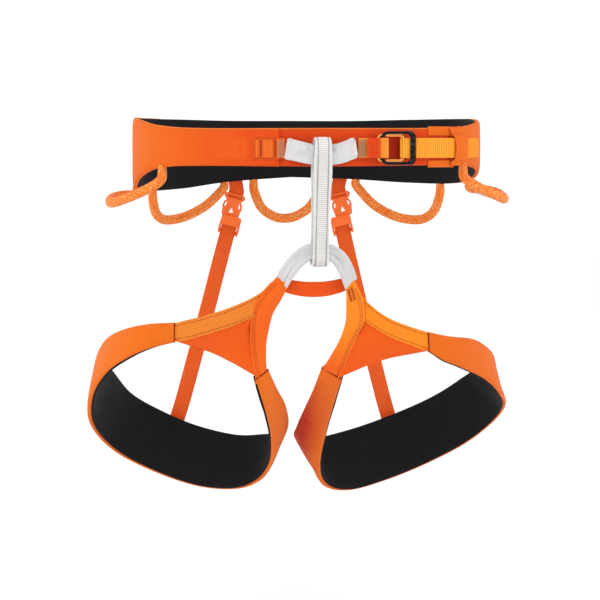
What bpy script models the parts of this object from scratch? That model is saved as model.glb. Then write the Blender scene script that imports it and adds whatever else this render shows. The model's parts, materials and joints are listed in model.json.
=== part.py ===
"""Climbing sit harness: padded waist belt, tie-in points, belay loop, leg loops, gear loops and buckles.

The frame is metres, +Z up. The wearer faces -Y and the wearer's right is at -X. The origin is the centre
of the waist opening, level with the middle of the belt's front.
"""

import math

import bmesh
import bpy
import numpy as np
from mathutils import Matrix, Vector

MM = 0.001
GAP = 0.4 * MM

# Waist belt: a squarish oval in plan, and a band whose height changes on the way round.
BELT_CENTRE_X = 1 * MM
BELT_HALF_WIDTH = 152 * MM
BELT_HALF_DEPTH = 104 * MM
BELT_SQUARENESS = 2.3
# Share of the way from front to back, then the top and the bottom edge's height.
BELT_LEFT_EDGES = ((0, 15.4, -17), (0.25, 15.4, -16), (0.36, 18, -18), (0.44, 23, -26), (0.52, 25, -35),
                   (0.62, 25, -39), (0.74, 24, -37), (0.86, 23, -31), (1, 23, -27))
BELT_RIGHT_EDGES = ((0, 15.4, -17), (0.25, 15.8, -16), (0.36, 19, -17), (0.44, 23, -22), (0.52, 25, -29),
                    (0.62, 25, -33), (0.74, 24, -32), (0.86, 23, -29), (1, 23, -27))
SHELL_THICKNESS = 1.2 * MM
FOAM_THICKNESS = 2.7 * MM
LINING_THICKNESS = 0.9 * MM
LAYER_INSET = 1.2 * MM
TONGUE_THICKNESS = 1.5 * MM
SHELL_RIGHT_END = 121 * MM
SHELL_LEFT_END = -38 * MM
TONGUE_ENDS = (-50 * MM, 140 * MM)
FOAM_ENDS = (143 * MM, -53 * MM)

# Webbing and the waist buckle.
WAIST_WEBBING = 17 * MM
WEBBING_THICKNESS = 1.4 * MM
STUB_ENDS = (-60 * MM, -33 * MM)
TIE_IN_ENDS = (-32 * MM, 27.5 * MM)
TIE_IN_FRONT = -115.5 * MM
TIE_IN_HEIGHT = 17.8 * MM
TIE_IN_DROP = -6 * MM
SLEEVE_THICKNESS = 4.4 * MM
SLEEVE_WALL = 1.0 * MM
BUCKLE_AT = 63 * MM
BUCKLE_BAR = 3 * MM
BUCKLE_PLATE = 1.8 * MM
BUCKLE_INNER = (25 * MM, 25 * MM)
BUCKLE_OUTER = (32 * MM, 29 * MM)
BUCKLE_WIDE_BAR = 5 * MM
INNER_FRAME_LEVEL = 3.3 * MM
OUTER_FRAME_LEVEL = 6.4 * MM
STRAP_LEVEL = 1.1 * MM
TAIL_LEVEL = 3.0 * MM
BUCKLE_HEIGHT = -0.8 * MM
KEEPER_ENDS = (121.5 * MM, 137 * MM)

# Belay loop: an upright ring of webbing around the two tie-in points.
BELAY_WIDTH = 16 * MM
BELAY_GAP = 12 * MM
BELAY_OUTER_THICKNESS = 1.5 * MM
BELAY_INNER_THICKNESS = 0.8 * MM
BELAY_TOP = (-115.5 * MM, 8 * MM)
BELAY_BOTTOM = (-97 * MM, -101 * MM)

# Lower tie-in: an arch of covered webbing between the leg loops, with an elastic bar behind it.
ARCH_PATH = ((-32, -85, -114), (-28.5, -89, -104.5), (-21, -94, -95), (-11, -98, -88.6), (-1, -99, -87.6),
             (8, -97.5, -89.8), (16, -94, -95), (22.5, -89, -103.5), (26.5, -85, -115.5))
ARCH_WIDTH = 13 * MM
FOOT_AXIS = (-85 * MM, -117 * MM)
CROSSBAR = ((-27, -80.5, -119), (-15, -82, -121), (-4, -82.5, -121.5), (7, -82, -121), (18.5, -80.5, -119))
CROSSBAR_HEIGHT = 13 * MM

# Leg loops: the outer face of each band as matching points along its top and its bottom edge, from the
# outer end of the yoke round the thigh to the inner end.
LEFT_BAND_TOP = ((-125, -86, -149), (-146, -79, -150), (-165, -60, -155), (-178, -26, -165), (-182, 18, -183),
                 (-170, 64, -200), (-151, 94, -223), (-121, 110, -241), (-86, 116, -256), (-49, 112, -265),
                 (-23, 94, -264), (-11, 66, -259), (-10, 32, -247), (-18, -8, -227), (-29, -34, -210),
                 (-40, -60, -192))
LEFT_BAND_BOTTOM = ((-125, -84, -166), (-146, -80, -171), (-164, -68, -179), (-182, -42, -194),
                    (-192, -6, -218), (-188, 42, -247), (-165, 82, -274), (-129, 104, -295),
                    (-86, 112, -311), (-50, 106, -314), (-30, 84, -305), (-23, 50, -286), (-27, 10, -260),
                    (-35, -22, -238), (-42, -44, -221), (-51, -62, -200))
RIGHT_BAND_TOP = ((95, -86, -159), (115, -79, -163), (140, -60, -167), (160, -26, -177), (171, 16, -188),
                  (163, 66, -205), (149, 86, -219), (124, 104, -236), (88, 114, -252), (53, 114, -263),
                  (21, 100, -268), (0, 72, -262), (-3, 42, -251), (-1, 10, -234), (2, -28, -213),
                  (5, -60, -191))
RIGHT_BAND_BOTTOM = ((96, -84, -176), (110, -80, -184), (128, -68, -191), (155, -42, -203), (174, -14, -217),
                     (189, 36, -233), (183, 68, -252), (160, 88, -274), (123, 104, -295), (86, 112, -310),
                     (54, 108, -317), (30, 88, -311), (19, 54, -291), (19, 10, -254), (20, -30, -226),
                     (22, -62, -201))
# Yoke: the upper webbing runs from the arch's foot to the band's outer end, the medial webbing to its inner
# end, and a panel fills the triangle between them.
LEFT_UPPER_TOP = ((-38, -86, -111), (-49, -89, -122), (-59, -91, -128), (-73, -92, -134), (-87, -92, -139),
                  (-104, -90, -144), (-123.5, -86, -149))
LEFT_UPPER_BOTTOM = ((-47, -85.5, -131), (-57, -87, -144), (-66, -88, -148), (-75, -88.3, -152),
                     (-84, -88, -155), (-104, -87, -161), (-123.5, -84, -165))
LEFT_MEDIAL_INNER = ((-28.5, -84, -122), (-40, -82, -143), (-44, -76, -164), (-44, -70, -178),
                     (-41, -61.5, -190.5))
LEFT_MEDIAL_OUTER = ((-46, -85, -132), (-57, -85, -146), (-59, -81, -158), (-57, -72, -178), (-51, -63, -198))
RIGHT_UPPER_TOP = ((30.5, -86, -115), (35, -89, -127), (42.5, -91, -134), (51, -92, -141), (61, -91.5, -147),
                   (72, -90, -151.5), (93.5, -86, -158.5))
RIGHT_UPPER_BOTTOM = ((35.5, -85.5, -136), (38.5, -87, -148), (47, -88, -154.5), (56, -88.5, -160),
                      (65, -88, -164.5), (74, -87, -168), (94.5, -84, -175.5))
RIGHT_MEDIAL_INNER = ((23, -84, -124), (23, -83.5, -135), (23, -81, -150), (19, -75, -165), (12, -67.5, -180),
                      (5.5, -61.5, -190))
RIGHT_MEDIAL_OUTER = ((34.5, -85, -137), (37.5, -85.3, -148), (34, -82, -158), (29, -79, -169),
                      (25.5, -70.5, -186), (21.5, -63, -199))
YOKE_PANEL_INSET = 1.2 * MM
YOKE_PANEL_SAG = 4 * MM
PANEL_THICKNESS = 1.0 * MM

# Rear straps and their small release clips.
REAR_WEBBING = 14 * MM
REAR_STRAPS = {
    "left": ((-50.5, 106, -47), (-54, 106.8, -68), (-62.5, 108.4, -100), (-74, 110.6, -145),
             (-86, 113, -190), (-96, 115.6, -228), (-101, 117.2, -245)),
    "right": ((47, 106, -46), (48, 106.8, -68), (55.5, 108.4, -100), (66.5, 110.6, -145),
              (78, 113, -190), (88, 115.6, -228), (93, 117.2, -245)),
}
CLIP_WIDTH = 17.5 * MM

# Gear loops: where both ends leave the belt, as distances along it, how far they hang down and out, and how
# their curve runs.
GEAR_LOOPS = {
    "front_left": (-147, -227, 19, 26, "reaching"),
    "rear_left": (-272, -353, 28, 9, "slanted"),
    "rear_centre": (-381, 389, 35, 11, "upright"),
    "rear_right": (272, 356, 33, 10, "slanted"),
    "front_right": (140, 226, 20, 24, "reaching"),
}
# The curves: shares of the way from one end to the other, then of the hang and of the bulge there.
GEAR_CURVES = {
    "upright": ((0, 0.015, 0.13, 0.32, 0.5, 0.68, 0.87, 0.985, 1),
                (0, 0.26, 0.68, 0.93, 1, 0.93, 0.68, 0.26, 0),
                (0, 0.06, 0.45, 0.88, 1, 0.88, 0.45, 0.06, 0)),
    "slanted": ((0, 0.015, 0.12, 0.28, 0.46, 0.64, 0.82, 0.985, 1),
                (0, 0.28, 0.72, 0.97, 1, 0.88, 0.6, 0.14, 0),
                (0, 0.06, 0.45, 0.88, 1, 0.88, 0.5, 0.06, 0)),
    "reaching": ((0, 0.012, 0.1, 0.28, 0.5, 0.72, 0.9, 0.988, 1),
                 (0, 0.32, 0.55, 0.82, 1, 0.87, 0.63, 0.32, 0),
                 (0, 0.04, 0.36, 0.82, 1, 0.82, 0.4, 0.05, 0)),
}
SHEATH_RADIUS = 4.0 * MM
SHEATH_WALL = 1.1 * MM
CORE_RADIUS = 2.4 * MM
GEAR_END_GAP = 2 * MM

ORANGE = (0.90, 0.19, 0.02)
DEEP_ORANGE = (0.74, 0.11, 0.02)
YELLOW = (1.0, 0.45, 0.04)
BLACK = (0.015, 0.014, 0.016)
WHITE = (0.80, 0.79, 0.78)

parts = None


def start_scene():
    global parts
    for found in list(bpy.data.objects):
        bpy.data.objects.remove(found)
    parts = bpy.data.collections.new("climbing_harness")
    bpy.context.scene.collection.children.link(parts)


def material(name, colour, roughness, metallic=0.0):
    found = bpy.data.materials.get(name)
    if found is None:
        found = bpy.data.materials.new(name)
        found.use_nodes = True
        shader = found.node_tree.nodes["Principled BSDF"]
        shader.inputs["Base Color"].default_value = (*colour, 1)
        shader.inputs["Roughness"].default_value = roughness
        shader.inputs["Metallic"].default_value = metallic
    return found


def finishes():
    return {
        "shell": material("shell_fabric", ORANGE, 0.75),
        "foam": material("foam", (0.25, 0.24, 0.24), 0.9),
        "lining": material("lining_fabric", BLACK, 0.9),
        "webbing": material("orange_webbing", DEEP_ORANGE, 0.7),
        "yellow": material("yellow_webbing", YELLOW, 0.7),
        "white": material("white_webbing", WHITE, 0.8),
        "core": material("core_webbing", WHITE, 0.8),
        "metal": material("anodised_aluminium", BLACK, 0.35, 1.0),
        "bright": material("polished_aluminium", (0.75, 0.6, 0.4), 0.25, 1.0),
        "plastic": material("orange_plastic", ORANGE, 0.4),
        "sheath": material("speckled_sheath", (0.95, 0.38, 0.12), 0.8),
        "tube": material("gear_tube", (0.8, 0.8, 0.8), 0.5),
    }


# Curves and frames -------------------------------------------------------------------------------------

def spline(points, parameter):
    """The smooth curve through the points, read at values of parameter from 0 to 1 by distance."""
    points = np.asarray(points, float)
    first, last = 2 * points[0] - points[1], 2 * points[-1] - points[-2]
    padded = np.vstack([first, points, last])
    steps = 24
    dense = []
    for index in range(len(points) - 1):
        before, start, end, after = padded[index:index + 4]
        for step in range(steps):
            t = step / steps
            dense.append(0.5 * (2 * start + (end - before) * t
                                + (2 * before - 5 * start + 4 * end - after) * t ** 2
                                + (3 * start - before - 3 * end + after) * t ** 3))
    dense = np.array(dense + [points[-1]])
    travelled = np.concatenate([[0], np.cumsum(np.linalg.norm(np.diff(dense, axis=0), axis=1))])
    wanted = np.asarray(parameter) * travelled[-1]
    return np.column_stack([np.interp(wanted, travelled, column) for column in dense.T])


def even(count):
    return np.linspace(0, 1, count)


def unit(vectors):
    return vectors / np.linalg.norm(vectors, axis=-1, keepdims=True)


def belt_table():
    """Plan points of the belt's outer face and the distance to each from the front's centre."""
    angles = np.linspace(0, 2 * math.pi, 1441)
    power = 2 / BELT_SQUARENESS
    across, ahead = np.sin(angles), np.cos(angles)
    x = BELT_CENTRE_X + BELT_HALF_WIDTH * np.sign(across) * np.abs(across) ** power
    y = -BELT_HALF_DEPTH * np.sign(ahead) * np.abs(ahead) ** power
    run = np.concatenate([[0], np.cumsum(np.hypot(np.diff(x), np.diff(y)))])
    return x, y, run


BELT_X, BELT_Y, BELT_RUN = belt_table()
BELT_GIRTH = BELT_RUN[-1]


def belt_plan(distance):
    distance = np.asarray(distance) % BELT_GIRTH
    return np.column_stack([np.interp(distance, BELT_RUN, BELT_X), np.interp(distance, BELT_RUN, BELT_Y)])


def belt_outward(distance):
    reach = 2 * MM
    along = belt_plan(np.asarray(distance) + reach) - belt_plan(np.asarray(distance) - reach)
    return unit(np.column_stack([along[:, 1], -along[:, 0]]))


def on_belt(distance, offset, height):
    """Points at a distance along the belt, an offset out from its outer face, and a height."""
    distance = np.atleast_1d(np.asarray(distance, float))
    plan = belt_plan(distance) + belt_outward(distance) * np.reshape(offset, (-1, 1))
    return np.column_stack([plan, np.broadcast_to(height, len(distance))])


def belt_edge(distance, which):
    """The height of the belt's top (1) or bottom (2) edge at a distance along it."""
    distance = np.asarray(distance, float) % BELT_GIRTH
    right = distance < BELT_GIRTH / 2
    share = np.where(right, distance, BELT_GIRTH - distance) / (BELT_GIRTH / 2)
    heights = []
    for edges in (BELT_LEFT_EDGES, BELT_RIGHT_EDGES):
        curve = spline(np.array(edges) * (1, 0.001, 0.001), even(400))
        heights.append(np.interp(share, curve[:, 0], curve[:, which]))
    return np.where(right, heights[1], heights[0])


# Solids ------------------------------------------------------------------------------------------------

def finished(name, mesh, finish):
    body = bpy.data.objects.new(name, mesh)
    parts.objects.link(body)
    mesh.materials.append(finish)
    return body


def grid_mesh(name, rows, closed=False):
    """A grid moved onto rows of points. A closed grid's last column joins its first."""
    rows = np.asarray(rows, float)
    count, across = rows.shape[:2]
    if closed:
        rows = np.concatenate([rows, rows[:, :1]], axis=1)
        across += 1
    built = bmesh.new()
    bmesh.ops.create_grid(built, x_segments=count - 1, y_segments=across - 1, size=1)
    built.verts.ensure_lookup_table()
    order = sorted(built.verts, key=lambda vert: (round(vert.co.x, 5), round(vert.co.y, 5)))
    for vert, place in zip(order, rows.reshape(-1, 3)):
        vert.co = place
    if closed:
        bmesh.ops.remove_doubles(built, verts=built.verts, dist=0.00001)
    mesh = bpy.data.meshes.new(name)
    built.to_mesh(mesh)
    built.free()
    return mesh


def sheet(name, rows, thickness, finish, closed=False):
    """A body of even thickness with the surface through the rows in its middle."""
    body = finished(name, grid_mesh(name, rows, closed), finish)
    solid = body.modifiers.new("thickness", "SOLIDIFY")
    solid.thickness = thickness
    solid.offset = 0
    return body


def surface_normals(rows):
    along = np.gradient(rows, axis=0)
    across = np.gradient(rows, axis=1)
    return unit(np.cross(along, across))


def lofted(first, second, count, across):
    """Rows of points between two smooth edges, whose points are matched."""
    paired = np.column_stack([np.asarray(first, float), np.asarray(second, float)]) * MM
    edges = spline(paired, even(count))
    share = even(across)[None, :, None]
    return edges[:, None, :3] * (1 - share) + edges[:, None, 3:] * share


def strap(name, path, sides, width, thickness, finish):
    """A flat strap: its centre line and the direction of its width at each point."""
    shares = np.array((-0.5, 0.5)) * width
    rows = np.asarray(path)[:, None, :] + np.asarray(sides)[:, None, :] * shares[None, :, None]
    return sheet(name, rows, thickness, finish)


def flat_tube(name, path, sides, width, thickness, wall, finish):
    """An open-ended flattened sleeve around a centre line, with rounded long edges."""
    path, sides = np.asarray(path), np.asarray(sides)
    along = unit(np.gradient(path, axis=0))
    depth = unit(np.cross(along, sides))
    half, middle = (thickness - wall) / 2, (width - thickness) / 2
    section = []
    for side in (1, -1):
        for angle in np.linspace(-60, 60, 4):
            turn = math.radians(angle)
            section.append((side * (middle + half * math.cos(turn)), side * half * math.sin(turn)))
    rows = [[place + sides[i] * u + depth[i] * v for u, v in section] for i, place in enumerate(path)]
    return sheet(name, rows, wall, finish, closed=True)


def round_tube(name, path, radius, finish, sides=8, wall=None):
    """A round rod along the path or, with a wall, an open-ended pipe of that outer radius."""
    if wall is None:
        curve = bpy.data.curves.new(name, "CURVE")
        curve.dimensions = "3D"
        curve.bevel_depth = radius
        curve.bevel_resolution = (sides - 4) // 2
        curve.use_fill_caps = True
        line = curve.splines.new("POLY")
        line.points.add(len(path) - 1)
        for point, place in zip(line.points, path):
            point.co = (*place, 1)
        curve.materials.append(finish)
        body = bpy.data.objects.new(name, curve)
        parts.objects.link(body)
        return body
    path = np.asarray(path)
    along = unit(np.gradient(path, axis=0))
    reference = unit(np.cross(along[0], path[-1] - path[0]))
    rows = []
    for place, forward in zip(path, along):
        reference = unit(reference - forward * np.dot(reference, forward))
        other = np.cross(forward, reference)
        turns = np.arange(sides) * 2 * math.pi / sides
        middle = radius - wall / 2
        rows.append([place + middle * (math.cos(t) * reference + math.sin(t) * other) for t in turns])
    return sheet(name, rows, wall, finish, closed=True)


def frame_plate(name, outer, bar, thickness, finish, place, holes=None, corner=3 * MM):
    """A plate with round corners and windows: a flat outline filled, given a thickness, then placed.

    Local X runs along the plate's length, local Y along its height, local Z through it.
    """
    if holes is None:
        holes = [(0, 0, outer[0] - 2 * bar, outer[1] - 2 * bar)]
    curve = bpy.data.curves.new(name, "CURVE")
    curve.dimensions = "2D"
    curve.fill_mode = "BOTH"
    curve.extrude = thickness / 2
    curve.resolution_u = 1
    loops = [(0, 0, *outer, corner)] + [(*hole, 0.6 * MM) for hole in holes]
    for x, y, length, height, round_by in loops:
        line = curve.splines.new("POLY")
        corners = []
        for sign_x, sign_y, start in ((1, 1, 0), (-1, 1, 90), (-1, -1, 180), (1, -1, 270)):
            for step in (0, 45, 90):
                turn = math.radians(start + step)
                corners.append((x + sign_x * (length / 2 - round_by) + round_by * math.cos(turn),
                                y + sign_y * (height / 2 - round_by) + round_by * math.sin(turn)))
        line.points.add(len(corners) - 1)
        for point, (u, v) in zip(line.points, corners):
            point.co = (u, v, 0, 1)
        line.use_cyclic_u = True
    flat = bpy.data.objects.new(name + "_outline", curve)
    parts.objects.link(flat)
    bpy.context.view_layer.update()
    mesh = bpy.data.meshes.new_from_object(flat.evaluated_get(bpy.context.evaluated_depsgraph_get()))
    bpy.data.objects.remove(flat)
    built = bmesh.new()
    built.from_mesh(mesh)
    bmesh.ops.remove_doubles(built, verts=built.verts, dist=0.00001)
    bmesh.ops.recalc_face_normals(built, faces=built.faces)
    built.to_mesh(mesh)
    built.free()
    mesh.materials.clear()
    body = finished(name, mesh, finish)
    body.matrix_world = place
    return body


def placing(origin, x_axis, y_axis):
    """The matrix that puts local X and Y along these directions, at an origin."""
    x_axis, y_axis = Vector(x_axis).normalized(), Vector(y_axis).normalized()
    z_axis = x_axis.cross(y_axis).normalized()
    y_axis = z_axis.cross(x_axis)
    turned = Matrix((x_axis, y_axis, z_axis)).transposed().to_4x4()
    return Matrix.Translation(Vector(origin)) @ turned


def joint_empty(name, place):
    holder = bpy.data.objects.new(name, None)
    holder.location = place
    parts.objects.link(holder)
    return holder


def hang_on(holder, *bodies):
    """Parents bodies to an empty on their joint's axis, without moving them."""
    bpy.context.view_layer.update()
    for body in bodies:
        place = body.matrix_world.copy()
        body.parent = holder
        body.matrix_parent_inverse = holder.matrix_world.inverted()
        body.matrix_world = place


# Waist belt --------------------------------------------------------------------------------------------

def belt_band(name, start, end, inner, outer, inset, finish, columns):
    """A layer of the belt between two offsets from its outer face."""
    distances = np.linspace(start, end, columns)
    top, bottom = belt_edge(distances, 1) - inset, belt_edge(distances, 2) + inset
    rows = np.stack([on_belt(distances, (inner + outer) / 2, top * share + bottom * (1 - share))
                     for share in even(3)], axis=1)
    return sheet(name, rows, outer - inner, finish)


def waist_belt(look):
    around = BELT_GIRTH
    foam_outer = -SHELL_THICKNESS - GAP
    lining_outer = foam_outer - FOAM_THICKNESS - GAP
    belt_band("waist_shell", SHELL_RIGHT_END, around + SHELL_LEFT_END, -SHELL_THICKNESS, 0, 0,
              look["shell"], 60)
    belt_band("waist_foam", FOAM_ENDS[0], around + FOAM_ENDS[1], foam_outer - FOAM_THICKNESS, foam_outer,
              2 * MM, look["foam"], 54)
    belt_band("waist_lining", SHELL_RIGHT_END + 2 * MM, around + SHELL_LEFT_END - 2 * MM,
              lining_outer - LINING_THICKNESS, lining_outer, 0.8 * MM, look["lining"], 60)
    belt_band("waist_tongue", *TONGUE_ENDS, foam_outer - TONGUE_THICKNESS, foam_outer, 0.6 * MM,
              look["shell"], 16)
    path = np.linspace(-100 * MM, -66 * MM, 5)
    strap("front_reinforcement", on_belt(path, 0.8 * MM, -1 * MM), np.tile((0, 0, 1.0), (5, 1)), 19 * MM,
          0.8 * MM, look["shell"])


def tie_in_path(count, trim=0):
    """Centre line of the upper tie-in: it leaves the belt, stands off inside the loop, and comes back."""
    left = on_belt(TIE_IN_ENDS[0], 2.9 * MM, -1.3 * MM)[0]
    right = on_belt(TIE_IN_ENDS[1], 2.9 * MM, -0.5 * MM)[0]
    points = [left, (-22 * MM, TIE_IN_FRONT + 2.4 * MM, -3.6 * MM), (-11 * MM, TIE_IN_FRONT, TIE_IN_DROP),
              (0, TIE_IN_FRONT - 0.3 * MM, TIE_IN_DROP), (9.5 * MM, TIE_IN_FRONT, TIE_IN_DROP),
              (19 * MM, TIE_IN_FRONT + 2.4 * MM, -3.4 * MM), right]
    return spline(points, np.linspace(trim, 1 - trim, count))


def upright_sides(path):
    """Directions across a strap that stands on edge, square to its path."""
    along = unit(np.gradient(np.asarray(path), axis=0))
    up = np.tile((0, 0, 1.0), (len(path), 1))
    return unit(up - along * np.sum(up * along, axis=1, keepdims=True))


def upper_tie_in(look):
    path = np.linspace(*STUB_ENDS, 5)
    strap("waist_webbing", on_belt(path, 1.1 * MM, -1.2 * MM), np.tile((0, 0, 1.0), (5, 1)), WAIST_WEBBING,
          WEBBING_THICKNESS, look["webbing"])
    path = tie_in_path(17)
    flat_tube("tie_in_sleeve", path, upright_sides(path), TIE_IN_HEIGHT, SLEEVE_THICKNESS, SLEEVE_WALL,
              look["white"])
    path = tie_in_path(17, 0.01)
    strap("tie_in_webbing", path, upright_sides(path), TIE_IN_HEIGHT - 5 * MM, 1.4 * MM, look["core"])


# Waist buckle ------------------------------------------------------------------------------------------

def buckle_axes():
    origin = on_belt(BUCKLE_AT, 0, BUCKLE_HEIGHT)[0]
    out = np.append(belt_outward(np.array([BUCKLE_AT]))[0], 0)
    along = np.array((-out[1], out[0], 0))
    return origin, along, out


def buckle_point(along_by, out_by):
    origin, along, out = buckle_axes()
    return origin + along * along_by + out * out_by


def plan_strap(name, points, width, finish, count):
    """A strap on edge whose centre line is a smooth curve through the points."""
    path = spline(points, even(count))
    path[:, 2] = np.interp(even(count), (0, 1), (points[0][2], points[-1][2]))
    return strap(name, path, np.tile((0, 0, 1.0), (count, 1)), width, WEBBING_THICKNESS, finish)


def waist_buckle(look):
    _, along, _ = buckle_axes()
    up = (0, 0, 1)
    left_bar = -(BUCKLE_OUTER[0] - BUCKLE_BAR) / 2
    inner_at = left_bar + (BUCKLE_INNER[0] - BUCKLE_BAR) / 2
    inner_bar = inner_at + (BUCKLE_INNER[0] - BUCKLE_BAR) / 2
    frame_plate("buckle_inner_frame", BUCKLE_INNER, BUCKLE_BAR, BUCKLE_PLATE, look["bright"],
                placing(buckle_point(inner_at, INNER_FRAME_LEVEL), along, up))
    window = (BUCKLE_OUTER[0] - BUCKLE_BAR - BUCKLE_WIDE_BAR, BUCKLE_OUTER[1] - 2 * BUCKLE_BAR)
    outer = frame_plate("buckle_outer_frame", BUCKLE_OUTER, BUCKLE_BAR, BUCKLE_PLATE, look["metal"],
                        placing(buckle_point(0, OUTER_FRAME_LEVEL), along, up),
                        holes=[((BUCKLE_BAR - BUCKLE_WIDE_BAR) / 2, 0, *window)])
    hang_on(joint_empty("buckle_pivot", buckle_point(left_bar, OUTER_FRAME_LEVEL)), outer)

    # Each strap is a list of points: distance along the buckle from its middle, then level over the belt.
    def at_buckle(points):
        return [buckle_point(along_by * MM, level * MM) for along_by, level in points]

    low = STRAP_LEVEL
    fold = [on_belt(29.5 * MM, 1.3 * MM, BUCKLE_HEIGHT)[0], on_belt(38 * MM, low, BUCKLE_HEIGHT)[0]]
    fold += at_buckle(((-18.5, 1.1), (-12.9, 1.1), (-10.5, 2.6), (-10.1, 4.9), (-10.6, 7.9), (-13.3, 9.2),
                       (-17.9, 8.0), (-22.7, 4.4), (-27, 3.2)))
    plan_strap("buckle_webbing", fold, WAIST_WEBBING, look["webbing"], 30)

    wrap = [on_belt(distance * MM, low, BUCKLE_HEIGHT)[0] for distance in (134, 110, 88)]
    wrap += at_buckle(((12, 1.1), (8.5, 1.1), (4.3, 1.6), (3.1, 3.3), (4.3, 5.0), (7.5, 5.35), (10.5, 4.75),
                       (14, 3.9), (20, 3.2)))
    wrap += [on_belt(distance * MM, TAIL_LEVEL, BUCKLE_HEIGHT)[0] for distance in (90, 105, 122, 137)]
    wrap.append(on_belt(166 * MM, 1.6 * MM, BUCKLE_HEIGHT)[0])
    plan_strap("adjusting_strap", wrap, WAIST_WEBBING, look["yellow"], 64)


def keeper(look):
    """A band sewn across the belt, arched over the free end of the strap."""
    rows = []
    for distance in np.linspace(*KEEPER_ENDS, 5):
        top, bottom = belt_edge(distance, 1) - 0.5 * MM, belt_edge(distance, 2) + 0.5 * MM
        middle = BUCKLE_HEIGHT
        reach = WAIST_WEBBING / 2 + 1 * MM
        profile = [(bottom, 1.0), (middle - reach - 2 * MM, 1.4), (middle - reach, 4.6), (middle, 4.8),
                   (middle + reach, 4.6), (middle + reach + 2 * MM, 1.4), (top, 1.0)]
        rows.append([on_belt(distance, out * MM, height)[0] for height, out in profile])
    sheet("strap_keeper", rows, 1.0 * MM, look["shell"])


# Belay loop and lower tie-in ---------------------------------------------------------------------------

def belay_ring(name, inset, width, thickness, finish, look_at):
    """A band closed on itself: two straight runs and two half-round ends, in a plane square to X."""
    top, bottom = np.array(BELAY_TOP), np.array(BELAY_BOTTOM)
    down = unit(bottom - top)
    aside = np.array((-down[1], down[0]))
    total = BELAY_OUTER_THICKNESS + BELAY_INNER_THICKNESS + GAP
    radius = BELAY_GAP / 2 + total - inset
    upper, lower = top + down * (BELAY_GAP / 2 + total), bottom - down * (BELAY_GAP / 2 + total)
    places = []
    for centre, begin in ((upper, 0), (lower, 180)):
        for step in np.linspace(0, 180, 9):
            turn = math.radians(begin + step)
            places.append(centre + radius * (math.cos(turn) * aside - math.sin(turn) * down))
    rows = [[(look_at + side * width / 2, y, z) for y, z in places] for side in (-1, 0, 1)]
    return sheet(name, rows, thickness, finish, closed=True)


def belay_loop(look):
    middle_x = -2 * MM
    outer = belay_ring("belay_loop", BELAY_OUTER_THICKNESS / 2, BELAY_WIDTH, BELAY_OUTER_THICKNESS,
                       look["white"], middle_x)
    inner = belay_ring("belay_loop_lining", BELAY_OUTER_THICKNESS + GAP + BELAY_INNER_THICKNESS / 2,
                       BELAY_WIDTH - 3 * MM, BELAY_INNER_THICKNESS, look["white"], middle_x)
    hang_on(joint_empty("belay_pivot", (middle_x, TIE_IN_FRONT, TIE_IN_DROP)), outer, inner)


def arch_sides(path):
    """Directions across the arch: in its own plane, pointing away from its middle."""
    along = unit(np.gradient(path, axis=0))
    front = np.tile((0, -1.0, 0), (len(path), 1))
    return unit(np.cross(along, front))


def lower_tie_in(look):
    path = spline(np.array(ARCH_PATH) * MM, even(21))
    sleeve = flat_tube("lower_tie_in_sleeve", path, arch_sides(path), ARCH_WIDTH, SLEEVE_THICKNESS,
                       SLEEVE_WALL, look["white"])
    path = spline(np.array(ARCH_PATH) * MM, np.linspace(0.01, 0.99, 21))
    core = strap("lower_tie_in_webbing", path, arch_sides(path), ARCH_WIDTH - 5 * MM, 1.4 * MM, look["core"])
    path = spline(np.array(CROSSBAR) * MM, even(9))
    bar = strap("leg_loop_crossbar", path, np.tile((0, 0, 1.0), (9, 1)), CROSSBAR_HEIGHT,
                WEBBING_THICKNESS, look["webbing"])
    crown = ARCH_PATH[4]
    hang_on(joint_empty("lower_tie_in_pivot", np.array(crown) * MM), sleeve, core, bar)


# Leg loops ---------------------------------------------------------------------------------------------

def leg_layers(side, top, bottom, outward, look):
    rows = lofted(top, bottom, 44, 3)
    normals = surface_normals(rows) * outward
    made = []
    level = 0
    for layer, thickness, finish in (("shell", SHELL_THICKNESS, look["shell"]),
                                     ("foam", FOAM_THICKNESS, look["foam"]),
                                     ("lining", LINING_THICKNESS, look["lining"])):
        middle = rows + normals * (level - thickness / 2)
        if layer != "shell":
            centre = middle[:, 1:2]
            half = np.linalg.norm(middle - centre, axis=2, keepdims=True).max(axis=1, keepdims=True)
            middle = centre + (middle - centre) * (1 - LAYER_INSET / half)
        if layer == "foam":
            middle = middle[1:-1]
        made.append(sheet(f"{side}_leg_{layer}", middle, thickness, finish))
        level -= thickness + GAP
    return made


def yoke(side, outlines, look):
    upper_top, upper_bottom, medial_inner, medial_outer = outlines
    made = [sheet(f"{side}_yoke_upper_webbing", lofted(upper_top, upper_bottom, 13, 2), WEBBING_THICKNESS,
                  look["yellow"]),
            sheet(f"{side}_yoke_medial_webbing", lofted(medial_inner, medial_outer, 13, 2), WEBBING_THICKNESS,
                  look["webbing"])]
    upper = spline(np.array(upper_bottom[1:]) * MM, np.linspace(0.12, 0.99, 9))
    medial = spline(np.array(medial_outer[1:]) * MM, np.linspace(0.12, 0.99, 9))
    rows = []
    for high, low, share in zip(upper, medial, even(9)):
        across = unit(low - high)
        start, end = high + across * YOKE_PANEL_INSET, low - across * YOKE_PANEL_INSET
        line = [start * (1 - v) + end * v for v in even(5)]
        sag = YOKE_PANEL_SAG * share
        rows.append([place + np.array((0, 0, sag * math.sin(math.pi * v)))
                     for place, v in zip(line, even(5))])
    made.append(sheet(f"{side}_yoke_panel", rows, PANEL_THICKNESS, look["shell"]))
    return made


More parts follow.
